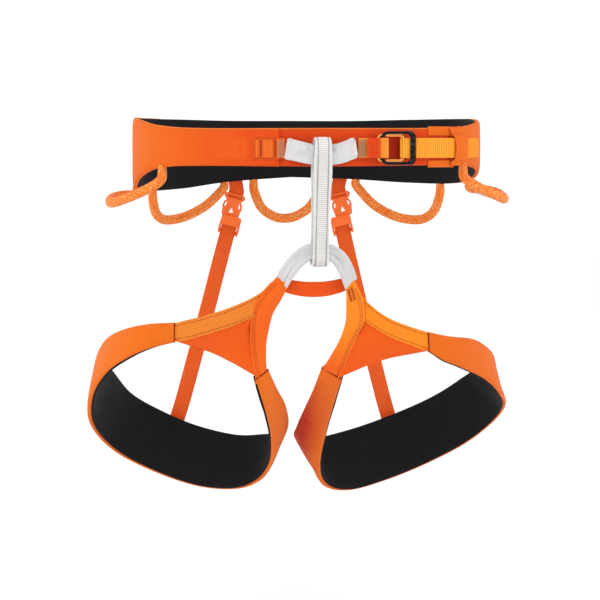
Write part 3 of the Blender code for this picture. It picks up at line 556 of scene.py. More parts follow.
class Look:
    """One material: a Principled shader with constants on its sockets, and nodes for what varies."""

    def __init__(self, name, **constants):
        self.material = bpy.data.materials.new(name)
        self.material.use_nodes = True
        self.tree = self.material.node_tree
        self.shader = self.tree.nodes["Principled BSDF"]
        for socket, value in constants.items():
            self.shader.inputs[socket.replace("_", " ")].default_value = value

    def node(self, kind, *inputs, output=0, **settings):
        made = self.tree.nodes.new("ShaderNode" + kind)
        for key, value in settings.items():
            setattr(made, key, value)
        for socket, value in zip(made.inputs, inputs):
            if isinstance(value, bpy.types.NodeSocket):
                self.tree.links.new(value, socket)
            elif value is not None:
                socket.default_value = value
        return made.outputs[output]

    def math(self, operation, *inputs):
        return self.node("Math", *inputs, operation=operation)

    def cloth(self):
        """Metres along the fabric and metres across it."""
        held = self.node("Attribute", attribute_name="cloth", output=1)
        parts = self.tree.nodes.new("ShaderNodeSeparateXYZ")
        self.tree.links.new(held, parts.inputs[0])
        return parts.outputs[0], parts.outputs[1], held

    def waves(self, coordinate, pitch):
        """From 0 to 1 and back over each pitch."""
        turned = self.math("SINE", self.math("MULTIPLY", coordinate, 2 * math.pi / pitch))
        return self.math("MULTIPLY_ADD", turned, 0.5, 0.5)

    def noise(self, scale, detail=2.0, vector=None, roughness=0.5):
        if vector is None:
            vector = self.node("TexCoord", output=3)
        made = self.tree.nodes.new("ShaderNodeTexNoise")
        self.tree.links.new(vector, made.inputs["Vector"])
        made.inputs["Scale"].default_value = scale
        made.inputs["Detail"].default_value = detail
        made.inputs["Roughness"].default_value = roughness
        return made.outputs[0]

    def mix(self, share, first, second):
        made = self.tree.nodes.new("ShaderNodeMix")
        made.data_type = "RGBA"
        for socket, value in ((made.inputs[0], share), (made.inputs[6], first), (made.inputs[7], second)):
            if isinstance(value, bpy.types.NodeSocket):
                self.tree.links.new(value, socket)
            else:
                socket.default_value = value
        return made.outputs[2]

    def between(self, value, low, high):
        """0 below low, 1 above high."""
        made = self.tree.nodes.new("ShaderNodeMapRange")
        self.tree.links.new(value, made.inputs[0])
        made.inputs[1].default_value, made.inputs[2].default_value = low, high
        return made.outputs[0]

    def colour(self, value):
        self.tree.links.new(value, self.shader.inputs["Base Color"])

    def roughness(self, value):
        self.tree.links.new(value, self.shader.inputs["Roughness"])

    def bump(self, height, depth, strength=1.0):
        """Height from 0 to 1 becomes a relief of this depth in metres."""
        made = self.tree.nodes.new("ShaderNodeBump")
        made.inputs["Strength"].default_value = strength
        made.inputs["Distance"].default_value = depth
        self.tree.links.new(height, made.inputs["Height"])
        self.tree.links.new(made.outputs[0], self.shader.inputs["Normal"])


def weave(look, along, across, pitch):
    """A plain weave: threads that pass over and under by turns."""
    warp = look.math("ABSOLUTE", look.math("SINE", look.math("MULTIPLY", along, math.pi / pitch)))
    weft = look.math("ABSOLUTE", look.math("SINE", look.math("MULTIPLY", across, math.pi / pitch)))
    check = look.math("ADD", look.math("FLOOR", look.math("DIVIDE", along, pitch)),
                      look.math("FLOOR", look.math("DIVIDE", across, pitch)))
    odd = look.math("PINGPONG", check, 1.0)
    return look.math("ADD", look.math("MULTIPLY", warp, odd),
                     look.math("MULTIPLY", weft, look.math("SUBTRACT", 1.0, odd)))


def laminate(name, main, deep, light, fade=None, fade_back=None, fade_across=None):
    """Smooth stretch fabric: a fine weave, soft mottling and slightly worn, paler threads. It can fade from
    the main to the deep colour between two distances along the cloth, fade back further on, and keep the
    deep colour to one side of the band. This fade is painted shade: the deep colour stands for less light."""
    look = Look(name, Sheen_Weight=0.05, Sheen_Roughness=0.4, Specular_IOR_Level=0.14)
    along, across, _ = look.cloth()
    fine = weave(look, along, across, 0.55 * MM)
    broad = look.noise(18, 3)
    patchy = look.between(broad, 0.3, 0.72)
    # Painted shade: the fade darkens the cloth to the deep colour where less light falls.
    if fade:
        share = look.between(along, *fade)
        if fade_back:
            share = look.math("SUBTRACT", share, look.between(along, *fade_back))
        if fade_across:
            share = look.math("MULTIPLY", share, look.between(across, *fade_across))
        base = look.mix(look.math("MULTIPLY_ADD", patchy, -0.12, share), main, deep)
    else:
        base = look.mix(patchy, deep, main)
    fibre = look.between(look.noise(1500, 2), 0.45, 0.8)
    look.colour(look.mix(look.math("MULTIPLY", look.math("MULTIPLY", fine, fibre), 0.55), base, light))
    look.roughness(look.math("MULTIPLY_ADD", broad, 0.2, 0.6))
    look.bump(look.math("MULTIPLY_ADD", look.noise(160, 2), 1.2, fine), 0.10 * MM, 0.8)
    return look.material


def ribbed(name, main, deep, light, pitch, axis="along", fuzz=0.5, first=None, fade=None):
    """Webbing with cross ribs: darker between them, paler where the threads cross over the top. Where it
    starts it can have another colour, which fades into the main one between two distances along it."""
    look = Look(name, Sheen_Weight=0.06, Sheen_Roughness=0.35, Specular_IOR_Level=0.16)
    along, across, _ = look.cloth()
    ribs = look.waves(along if axis == "along" else across, pitch)
    threads_over = look.waves(across if axis == "along" else along, 0.7 * MM)
    fine = weave(look, along, across, 0.35 * MM)
    if fade:
        shift = look.between(along, *fade)
        main = look.mix(shift, first, main)
        deep = look.mix(shift, tuple(0.7 * v for v in first[:3]) + (1,), deep)
    base = look.mix(look.between(ribs, 0.0, 0.6), deep, main)
    crest = look.math("MULTIPLY", look.between(ribs, 0.55, 1.0), look.between(threads_over, 0.2, 0.9))
    worn = look.math("MULTIPLY", crest, look.math("MULTIPLY_ADD", look.noise(90, 3), 0.8, 0.2))
    look.colour(look.mix(look.math("MULTIPLY", worn, fuzz), base, light))
    look.roughness(look.math("MULTIPLY_ADD", fine, 0.15, 0.55))
    height = look.math("MULTIPLY_ADD", ribs, 2.0, fine)
    look.bump(look.math("ADD", height, threads_over), 0.08 * MM, 0.8)
    return look.material


def diamond(name, main, deep, light, pitch=2.2 * MM):
    """Load webbing with a raised diamond lattice."""
    look = Look(name, Sheen_Weight=0.06, Sheen_Roughness=0.35, Specular_IOR_Level=0.16)
    along, across, _ = look.cloth()
    steep = look.math("MULTIPLY", across, 1.3)
    one = look.waves(look.math("ADD", along, steep), pitch)
    other = look.waves(look.math("SUBTRACT", along, steep), pitch)
    lattice = look.math("MAXIMUM", one, other)
    fine = weave(look, along, across, 0.4 * MM)
    base = look.mix(look.between(lattice, 0.45, 0.95), deep, main)
    crest = look.math("MULTIPLY", look.between(lattice, 0.8, 1.0), look.math("MULTIPLY_ADD", fine, 0.5, 0.5))
    look.colour(look.mix(look.math("MULTIPLY", crest, 0.6), base, light))
    look.roughness(look.math("MULTIPLY_ADD", fine, 0.15, 0.55))
    look.bump(look.math("MULTIPLY_ADD", lattice, 3.0, fine), 0.12 * MM, 0.8)
    return look.material


def twill(name, main, deep, light):
    """Flat elastic tape: diagonal ribs with a soft nap."""
    look = Look(name, Sheen_Weight=0.06, Sheen_Roughness=0.4, Specular_IOR_Level=0.14)
    along, across, _ = look.cloth()
    diagonal = look.waves(look.math("MULTIPLY_ADD", across, 1.6, along), 1.1 * MM)
    ribs = look.waves(across, 0.6 * MM)
    height = look.math("MULTIPLY_ADD", ribs, 0.6, diagonal)
    base = look.mix(look.between(height, 0.3, 1.2), deep, main)
    specks = look.between(look.noise(700, 2), 0.55, 0.75)
    look.colour(look.mix(look.math("MULTIPLY", specks, 0.35), base, light))
    look.roughness(look.math("MULTIPLY_ADD", look.noise(40), 0.2, 0.6))
    look.bump(height, 0.12 * MM, 0.8)
    return look.material


def air_mesh(name):
    """Black lining: a knit with small round holes."""
    look = Look(name, Sheen_Weight=0.03, Sheen_Roughness=0.5, Specular_IOR_Level=0.12)
    _, across, held = look.cloth()
    holes = look.tree.nodes.new("ShaderNodeTexVoronoi")
    holes.inputs["Scale"].default_value = 620
    holes.inputs["Randomness"].default_value = 0.25
    look.tree.links.new(held, holes.inputs["Vector"])
    knit = look.between(holes.outputs[0], 0.12, 0.5)
    ribs = look.waves(across, 0.9 * MM)
    base = look.mix(knit, paint(9, 8, 9), paint(24, 23, 26))
    look.colour(look.mix(look.between(look.noise(25, 3), 0.35, 0.8), base, paint(16, 15, 17)))
    look.roughness(look.math("MULTIPLY_ADD", ribs, 0.1, 0.75))
    look.bump(look.math("MULTIPLY_ADD", ribs, 0.4, knit), 0.15 * MM, 0.8)
    return look.material


def white_tape(name, ribs_pitch=0.0, tint=(238, 237, 236)):
    """White webbing: a fine herringbone, faint soiling and, with a pitch, flat cross ribs."""
    look = Look(name, Sheen_Weight=0.08, Sheen_Roughness=0.4, Specular_IOR_Level=0.2)
    along, across, _ = look.cloth()
    folded = look.math("PINGPONG", across, 1.6 * MM)
    bone = look.waves(look.math("ADD", along, folded), 0.8 * MM)
    fine = weave(look, along, across, 0.4 * MM)
    height = look.math("MULTIPLY_ADD", bone, 0.8, fine)
    grey = tuple(v - 32 for v in tint)
    soil = look.between(look.noise(60, 4, roughness=0.6), 0.42, 0.8)
    base = look.mix(look.math("MULTIPLY", soil, 0.35), paint(*tint), paint(*grey))
    if ribs_pitch:
        ribs = look.waves(along, ribs_pitch)
        base = look.mix(look.between(ribs, 0.55, 0.0), base, paint(*(v - 48 for v in tint)))
        height = look.math("MULTIPLY_ADD", ribs, 2.5, height)
    look.colour(look.mix(look.math("MULTIPLY", look.between(fine, 0.4, 0.0), 0.25), base, paint(*grey)))
    look.roughness(look.math("MULTIPLY_ADD", soil, 0.15, 0.65))
    look.bump(height, 0.09 * MM, 0.8)
    return look.material


def braid(name):
    """Speckled round sheath: strands of three colours laid in a diamond braid."""
    look = Look(name, Sheen_Weight=0.06, Sheen_Roughness=0.4, Specular_IOR_Level=0.18)
    along, around, _ = look.cloth()
    turn = look.math("MULTIPLY", around, 20.0)
    lay = look.math("DIVIDE", along, 1.15 * MM)
    one, other = look.math("ADD", lay, turn), look.math("SUBTRACT", lay, turn)
    cells = look.tree.nodes.new("ShaderNodeCombineXYZ")
    look.tree.links.new(look.math("FLOOR", one), cells.inputs[0])
    look.tree.links.new(look.math("FLOOR", other), cells.inputs[1])
    random = look.tree.nodes.new("ShaderNodeTexWhiteNoise")
    look.tree.links.new(cells.outputs[0], random.inputs["Vector"])

    def crests(value):
        return look.math("ABSOLUTE", look.math("SINE", look.math("MULTIPLY", value, math.pi)))
    strand = look.math("MULTIPLY", crests(one), crests(other))
    base = look.mix(look.between(random.outputs[0], 0.3, 0.5), paint(232, 108, 26), paint(240, 132, 42))
    base = look.mix(look.between(random.outputs[0], 0.6, 0.9), base, paint(250, 186, 116))
    look.colour(look.mix(look.between(strand, 0.3, 0.0), base, paint(222, 98, 22)))
    look.roughness(look.math("MULTIPLY_ADD", random.outputs[0], 0.2, 0.55))
    look.bump(strand, 0.35 * MM, 0.7)
    return look.material


def metal(name, colour, edge, roughness):
    """Anodised or tumbled aluminium: fine scratches, and paler worn edges."""
    look = Look(name, Metallic=1.0)
    scratches = look.noise(420, 4, roughness=0.7)
    stretched = look.node("Mapping", look.node("TexCoord", output=3), None, None, (1, 1, 9))
    fine = look.noise(260, 3, stretched)
    pointed = look.node("NewGeometry", output=7)
    worn = look.math("MULTIPLY", look.between(pointed, 0.54, 0.62), look.between(scratches, 0.35, 0.7))
    look.colour(look.mix(worn, look.mix(look.between(fine, 0.5, 0.85), colour, edge), edge))
    look.roughness(look.math("MULTIPLY_ADD", fine, 0.25, roughness))
    look.bump(look.math("MULTIPLY_ADD", fine, 0.5, scratches), 0.05 * MM, 0.3)
    return look.material


def plastic(name, main, deep):
    """Moulded acetal with a faint spark-eroded grain."""
    look = Look(name, Specular_IOR_Level=0.45)
    grain = look.noise(1300, 3)
    flow = look.noise(35, 2)
    look.colour(look.mix(look.between(flow, 0.3, 0.75), deep, main))
    look.roughness(look.math("MULTIPLY_ADD", grain, 0.2, 0.33))
    look.bump(grain, 0.05 * MM, 0.5)
    return look.material


def thread(name, colour, shade):
    """Twisted sewing thread."""
    look = Look(name, Sheen_Weight=0.1, Sheen_Roughness=0.3, Specular_IOR_Level=0.25)
    strands = look.noise(2600, 2)
    look.colour(look.mix(strands, shade, colour))
    look.roughness(look.math("MULTIPLY_ADD", strands, 0.2, 0.5))
    look.bump(strands, 0.05 * MM, 0.6)
    return look.material


def looks():
    # centre is the deeper red of the painted shade on the front's centre.
    shell, centre = paint(215, 98, 14), paint(210, 66, 11)
    return {
        "shell": laminate("shell_fabric", shell, paint(216, 94, 12), paint(236, 134, 48)),
        "leg": laminate("leg_fabric", paint(216, 104, 16), paint(216, 98, 13), paint(238, 140, 50)),
        # Painted shade: the waist cover goes deeper red towards the front's centre.
        "waist": laminate("waist_fabric", shell, centre, paint(230, 110, 36), fade=WAIST_PAINTED_SHADE),
        # Painted shade: deep red on the inner part of the right leg loop, between the legs.
        "right_leg": laminate("right_leg_fabric", shell, paint(178, 26, 10), paint(232, 118, 42),
                              fade=RIGHT_LEG_PAINTED_SHADE, fade_back=RIGHT_LEG_PAINTED_SHADE_END,
                              fade_across=(-16 * MM, 8 * MM)),
        "patch": laminate("patch_fabric", paint(218, 82, 13), paint(214, 74, 12), paint(232, 118, 40)),
        # Partly painted shade: the end binding's own colour, darkened to also paint the shade at the step
        # where a leg band ends.
        "hem": laminate("hem_tape", paint(120, 40, 14), paint(70, 22, 10), paint(150, 62, 26)),
        # Painted shade: the right medial strap goes deeper red towards its lower end, where less light falls
        # between the legs.
        "right_medial": laminate("right_medial_fabric", paint(234, 124, 24), paint(222, 80, 14),
                                 paint(250, 170, 70), fade=(42 * MM, 84 * MM)),
        "fold": ribbed("buckle_webbing", paint(222, 72, 14), paint(184, 38, 8), paint(240, 124, 44), 1.3 * MM,
                       first=paint(242, 146, 44), fade=(35 * MM, 37.5 * MM)),
        "crossbar": ribbed("crossbar_elastic", paint(229, 86, 16), paint(212, 58, 10), paint(244, 138, 56),
                           1.3 * MM),
        "panel": laminate("panel_fabric", paint(226, 88, 14), paint(219, 78, 12), paint(236, 112, 36)),
        # Painted shade: the tongue has the deeper red of the front's centre, where less light falls.
        "tongue": laminate("tongue_fabric", paint(214, 68, 12), paint(206, 58, 10), paint(226, 92, 30)),
        # Painted shade: a deep red fabric for the shade inside the buckle's recess.
        "painted_recess_shade": laminate("buckle_recess_painted_shade", paint(168, 36, 8), paint(150, 26, 6),
                             paint(190, 60, 22)),
        "medial": laminate("medial_fabric", paint(231, 100, 18), paint(223, 86, 14), paint(242, 134, 46)),
        "lining": air_mesh("lining_mesh"),
        # Painted highlight: a paler tape for the light caught along the belt's top edge.
        "edge_highlight_tube": twill("edge_highlight_tube", paint(240, 130, 50), paint(228, 100, 30), paint(248, 170, 104)),
        "yellow": ribbed("yellow_webbing", paint(246, 168, 48), paint(228, 122, 16), paint(255, 204, 108),
                         2.0 * MM),
        "stub": ribbed("stub_webbing", paint(232, 100, 22), paint(206, 66, 12), paint(246, 148, 66),
                       1.0 * MM, axis="across"),
        "diamond": diamond("diamond_webbing", paint(240, 136, 32), paint(204, 78, 14), paint(252, 178, 78)),
        "yoke_yellow": twill("yoke_webbing", paint(242, 140, 28), paint(232, 118, 18), paint(252, 176, 76)),
        "rear": twill("rear_tape", paint(228, 96, 34), paint(212, 76, 24), paint(240, 132, 68)),
        "white": white_tape("white_tape", tint=(216, 215, 213)),
        "sleeve": white_tape("white_sleeve", tint=(206, 205, 205)),
        "white_ribs": white_tape("white_ribbed_tape", 1.7 * MM, (228, 226, 222)),
        "sheath": braid("speckled_sheath"),
        "black_metal": metal("anodised_aluminium", paint(20, 20, 22), paint(92, 92, 94), 0.3),
        # Painted reflection: the polished aluminium frame is tinted orange for the orange webbing it
        # reflects.
        "bright_metal": metal("polished_aluminium", paint(226, 140, 66), paint(244, 206, 150), 0.2),
        "plastic": plastic("orange_acetal", paint(242, 112, 26), paint(236, 98, 20)),
        "red_thread": thread("red_thread", paint(168, 34, 10), paint(120, 18, 6)),
        "rust_thread": thread("rust_thread", paint(168, 66, 18), paint(128, 42, 10)),
        "grey_thread": thread("grey_thread", paint(136, 136, 144), paint(84, 84, 92)),
        "beige_thread": thread("beige_thread", paint(208, 178, 140), paint(176, 140, 104)),
        "orange_thread": thread("orange_thread", paint(246, 150, 58), paint(222, 108, 28)),
        "tube": plastic("gear_tube", paint(206, 206, 204), paint(192, 192, 190)),
    }


# Pieces ------------------------------------------------------------------------------------------------

look = {}


def place(body, rides_on, slot, finish, replaces=()):
    body.data.materials.append(look[finish])
    if replaces:
        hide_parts(*replaces)
    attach(body, rides_on)
    return body


def pad_cover(name, band, held_lines, relief=None):
    """The padded outer half of a band, filled by cloth simulation between its sewn edges and lines."""
    body = ribbon(name, band, 0, -COVER_DEPTH, across=17, rounding=4, crown=0.3 * MM, relief=relief)
    cloth = np.empty(len(body.data.vertices) * 3, np.float32)
    body.data.attributes["cloth"].data.foreach_get("vector", cloth)
    run, _, side = cloth.reshape(-1, 3).T
    held = side < 0.5
    for line in held_lines:
        held |= np.abs(run - line) < 1.2 * MM
    inflate(body, held, PAD_PRESSURE, PAD_SWELL, PAD_SPARE)
    return body


def waist_belt():
    around = BELT_GIRTH
    band = belt_ribbon(SHELL_ENDS[0], around + SHELL_ENDS[1])
    seam, ridge = around + SEAM_AT, around + RIDGE_AT

    def stitched(run, reach, side):
        groove = -0.7 * MM * bump_at(run, seam, 2.4 * MM) + 0.7 * MM * bump_at(run, ridge, 5 * MM)
        return np.where(side > 0, groove, 0)
    cover = pad_cover("waist_pad_cover", band, (seam, ridge), stitched)
    place(cover, "waist_belt", "shell_fabric", "waist", ("waist_shell", "waist_foam"))
    lining_band = belt_ribbon(SHELL_ENDS[0] + 2 * MM, around + SHELL_ENDS[1] - 2 * MM)
    at_back = np.clip(1.6 - np.abs(lining_band.run - around / 2) / (0.2 * around), 0, 1)
    lining_band = widened(lining_band, (1.7 * at_back - 1) * MM, (1.6 * at_back - 1) * MM)
    lining = ribbon("waist_pad_lining", lining_band, -LINING_OUTER, -LINING_INNER, across=11, relief=quilt)
    place(lining, "waist_belt", "lining_fabric", "lining", ("waist_lining",))

    tongue = ribbon("waist_front_tongue", belt_ribbon(*TONGUE_ENDS, top_inset=0.4 * MM,
                                                       bottom_inset=0.4 * MM),
                    -1.5 * MM, -3.2 * MM, across=11, relief=tongue_folds)
    place(tongue, "waist_belt", "shell_fabric", "tongue", ("waist_tongue",))
    for name, low, high in (("upper", 9.6, 17.6), ("lower", -17.4, -11.2)):
        distance = np.linspace(*TAB_ENDS, 16)
        tab = Band(on_belt(distance, -0.4 * MM, high * MM), on_belt(distance, -0.4 * MM, low * MM), (0, 0, 0))
        tab = ribbon(f"waist_{name}_tab", tab, 0, -1.0 * MM, across=5)
        place(tab, "waist_belt", "shell_fabric", "shell")

    distance = np.linspace(*PATCH_ENDS, 22)
    patch = Band(on_belt(distance, 0, 8.6 * MM), on_belt(distance, 0, -10.6 * MM), (0, 0, 0))
    patch = ribbon("front_reinforcement_patch", patch, 1.0 * MM, 0.2 * MM, across=9, crown=0.15 * MM)
    place(patch, "waist_belt", "shell_fabric", "patch", ("front_reinforcement",))

    # Painted highlight: a thin tube along the top edge of the front, paler than the belt, paints the light
    # caught along that edge.
    front = np.linspace(-0.34 * around, 0.16 * around, 260)
    edge_highlight_tube = on_belt(front, 0, 0)
    edge_highlight_tube[:, 2] = belt_edge(front, 1)
    inwards = np.where(np.abs(front - 40 * MM) < 80 * MM, -2.0 * MM, -1.0 * MM)
    edge_highlight_tube[:, :2] += belt_outward(front) * inwards[:, None]
    place(tube("waist_top_painted_highlight", edge_highlight_tube, 0.7 * MM), "waist_belt", "shell_fabric", "edge_highlight_tube")


def widened(band, at_top, at_bottom):
    """The same band with its edges moved out by these amounts."""
    across = unit(band.top - band.bottom)
    wider = Band(band.top + across * at_top[:, None], band.bottom - across * at_bottom[:, None], (0, 0, 0),
                 band.closed, band.run)
    wider.normals = band.normals
    return wider


def quilt(run, reach, side):
    """Soft channels across the lining, every 30 mm or so."""
    swell = 0.25 * MM * np.abs(np.sin(math.pi * run / (31 * MM)))
    return np.where(side < 0, -swell, 0)


def tongue_folds(run, reach, side):
    """Upright seams beside the tie-in, and soft creases where the belt is pulled."""
    seams = 0.5 * MM * (bump_at(run, -46 * MM, 3 * MM) + bump_at(run, -37 * MM, 3 * MM))
    creases = 0.35 * MM * np.sin(run / (7 * MM) + reach / (9 * MM)) * bump_at(run, 45 * MM, 90 * MM)
    return np.where(side > 0, creases - seams, 0)


def end_tack(name, band, ends, lowest, offset):
    """Rows of short zigzag thread, a millimetre or so apart, that sew a webbing's end to the belt."""
    count = 9
    run, sway = np.linspace(*ends, count) * MM, 1.2 * MM * (np.arange(count) % 2)
    rows = [on_band(band, run, low * MM + sway, offset) for low in np.arange(lowest, 7, 1.15)]
    place(threads(name, rows, 0.26 * MM), "waist_belt", "orange_webbing", "beige_thread")


def waist_webbing():
    distance = np.linspace(*STUB_ENDS, 60)
    height = -1.2 * MM
    half = WEBBING / 2
    band = Band(on_belt(distance, 0, height + half), on_belt(distance, 0, height - half), (0, 0, 0))
    stub = ribbon("waist_webbing_stub", band, 1.8 * MM, 0.4 * MM, across=13)
    place(stub, "waist_belt", "orange_webbing", "stub", ("waist_webbing",))
    tacks = []
    for run in (6.5, 18.5):
        count = 19
        tacks.append(on_band(band, run * MM + 1.0 * MM * np.where(np.arange(count) % 2, 1, -1),
                             np.linspace(-6.8, 6.8, count) * MM, 2.0 * MM))
    tack = threads("waist_webbing_bar_tacks", tacks, 0.42 * MM)
    place(tack, "waist_belt", "orange_webbing", "red_thread")
    lines = []
    for run in (3, 9.5, 11, 12.5, 14, 15.5):
        count = 12
        lines.append(on_band(band, np.full(count, run * MM), np.linspace(-7.4, 7.4, count) * MM, 1.95 * MM))
    place(threads("waist_webbing_stitching", lines, 0.25 * MM), "waist_belt", "orange_webbing",
          "orange_thread")
    count = 24
    outline = [on_band(band, np.full(count, 1.0 * MM), np.linspace(-8, 8, count) * MM, 1.9 * MM),
               on_band(band, np.linspace(1, 20, count) * MM, np.full(count, -8.1 * MM), 1.8 * MM),
               on_band(band, np.linspace(1, 20, count) * MM, np.full(count, 8.1 * MM), 1.8 * MM)]
    place(threads("waist_webbing_edge_stitching", outline, 0.3 * MM), "waist_belt", "orange_webbing",
          "rust_thread")
    end_tack("waist_webbing_end_tack", band, (20.6, 26.2), -7.8, 1.95 * MM)

    distance = np.linspace(28.5 * MM, 36.5 * MM, 20)
    high, low = BUCKLE_HEIGHT + half, BUCKLE_HEIGHT - half
    band = Band(on_belt(distance, 0, high), on_belt(distance, 0, low), (0, 0, 0))
    end_tack("buckle_webbing_end_tack", band, (0.8, 6.4), -7.6, 2.6 * MM)


def tie_in_path(count):
    left = on_belt(TIE_IN_ENDS[0], 2.9 * MM, -1.3 * MM)[0]
    right = on_belt(TIE_IN_ENDS[1], 2.9 * MM, -0.5 * MM)[0]
    points = [left, (-22 * MM, TIE_IN_FRONT + 2.4 * MM, -3.6 * MM), (-11 * MM, TIE_IN_FRONT, TIE_IN_DROP),
              (0, TIE_IN_FRONT - 0.3 * MM, TIE_IN_DROP), (9.5 * MM, TIE_IN_FRONT, TIE_IN_DROP),
              (19 * MM, TIE_IN_FRONT + 2.4 * MM, -3.4 * MM), right]
    return spline(points, even(count))


def upper_tie_in():
    path = tie_in_path(90)
    along = unit(np.gradient(path, axis=0))
    up = np.tile((0, 0, 1.0), (len(path), 1))
    sides = unit(up - along * np.sum(up * along, axis=1, keepdims=True))
    share = even(90)
    flare = np.exp(-share / 0.05) + np.exp(-(1 - share) / 0.05)
    corner = np.exp(-share / 0.012) + np.exp(-(1 - share) / 0.012)
    width = TIE_IN_HEIGHT + (1.6 * flare - 3.2 * corner - 0.6 * np.sin(math.pi * share)) * MM
    band = strap_ribbon(path, sides, width, (0, 0, 0))
    length = band.run[-1]

    def wrinkles(run, reach, side):
        near_end = np.exp(-run / (7 * MM)) + np.exp(-(length - run) / (7 * MM))
        flat = -0.9 * MM * near_end * np.abs(side)
        creases = 0.55 * MM * np.sin(reach / (1.6 * MM) + 1.8 * np.sin(run / (5 * MM)))
        upper = np.exp(-np.abs(reach - 5 * MM) / (4 * MM))
        fans = 0.5 * MM * np.sin((run + 0.9 * reach) / (1.5 * MM)) * upper
        drapes = 0.45 * MM * np.sin((run - 0.7 * reach) / (3.1 * MM)) * (1 - near_end.clip(0, 1))
        folds = creases * (1 - near_end.clip(0, 1)) + fans + drapes
        return flat + np.where(side > 0, np.minimum(folds - 0.3 * MM, 0.15 * MM), 0)
    sleeve = ribbon("tie_in_cover", band, SLEEVE_THICKNESS / 2, -SLEEVE_THICKNESS / 2, across=25, rounding=5,
                    relief=wrinkles)
    place(sleeve, "waist_belt", "white_webbing", "sleeve", ("tie_in_sleeve",))


def belay_outline(count):
    """The outer face of the belay loop in the plane square to X, as (Y, Z), and its inside point."""
    top, bottom = np.array(BELAY_TOP), np.array(BELAY_BOTTOM)
    down = unit(bottom - top)
    aside = np.array((-down[1], down[0]))
    radius = BELAY_GAP / 2 + BELAY_WALL
    upper, lower = top + down * radius, bottom - down * radius
    places = []
    for centre, begin in ((upper, 0), (lower, 180)):
        for step in np.linspace(0, 180, 40):
            turn = math.radians(begin + step)
            places.append(centre + radius * (math.cos(turn) * aside - math.sin(turn) * down))
    places = np.array(places + [places[0]])
    travelled = distances_along(places)
    wanted = even(count + 1)[:-1] * travelled[-1]
    smooth = np.column_stack([np.interp(wanted, travelled, column) for column in places.T])
    return smooth, (upper + lower) / 2


def belay_loop():
    outline, middle = belay_outline(720)
    height = (outline[:, 1] - outline[:, 1].min()) / np.ptp(outline[:, 1])
    width = (13.4 + 2.5 * bump_at(height, 0.74, 0.42) + 1.0 * bump_at(height, 0.02, 0.25)) * MM
    x = np.full(len(outline), BELAY_MIDDLE)
    inside = (BELAY_MIDDLE, *middle)

    def edge(half):
        return np.column_stack([x + half, outline])
    band = Band(edge(width / 2), edge(-width / 2), inside, closed=True)
    strip, pitch = 4.2 * MM, 1.7 * MM

    def raised(run, reach, side):
        inner = 1 / (1 + np.exp((np.abs(reach) - strip) / (0.25 * MM)))
        valley = -0.35 * MM * bump_at(np.abs(reach), strip + 0.3 * MM, 0.9 * MM)
        ribs = 0.13 * MM * np.cos(2 * math.pi * run / pitch) * inner
        soft = 0.15 * MM * np.sin(run / (11 * MM)) * (1 - inner)
        return np.where(side > 0, 0.25 * MM * inner + valley + ribs + soft, 0)
    outer = ribbon("belay_loop_webbing", band, 0, -1.5 * MM, across=31, rounding=4, relief=raised)
    place(outer, "belay_loop", "white_webbing", "white", ("belay_loop",))
    outer.data.materials.append(look["white_ribs"])
    held = outer.data.attributes["cloth"].data
    for face in outer.data.polygons:
        spots = [held[index].vector for index in face.vertices]
        if all(spot[2] > 0.5 and abs(spot[1]) < strip for spot in spots):
            face.material_index = 1
    lining = ribbon("belay_loop_inner_webbing", Band(edge(width / 2 - 1.3 * MM), edge(1.3 * MM - width / 2),
                                                     inside, closed=True),
                    -1.55 * MM, -2.65 * MM, across=13)
    place(lining, "belay_loop", "white_webbing", "white", ("belay_loop_lining",))
    lines = [seam_line(band, reach, 0.02 * MM, pitch=2.0 * MM) for reach in (-4.5 * MM, 4.5 * MM)]
    place(stitches("belay_loop_stitching", lines, 1.4 * MM, 0.33 * MM), "belay_loop", "white_webbing",
          "grey_thread")


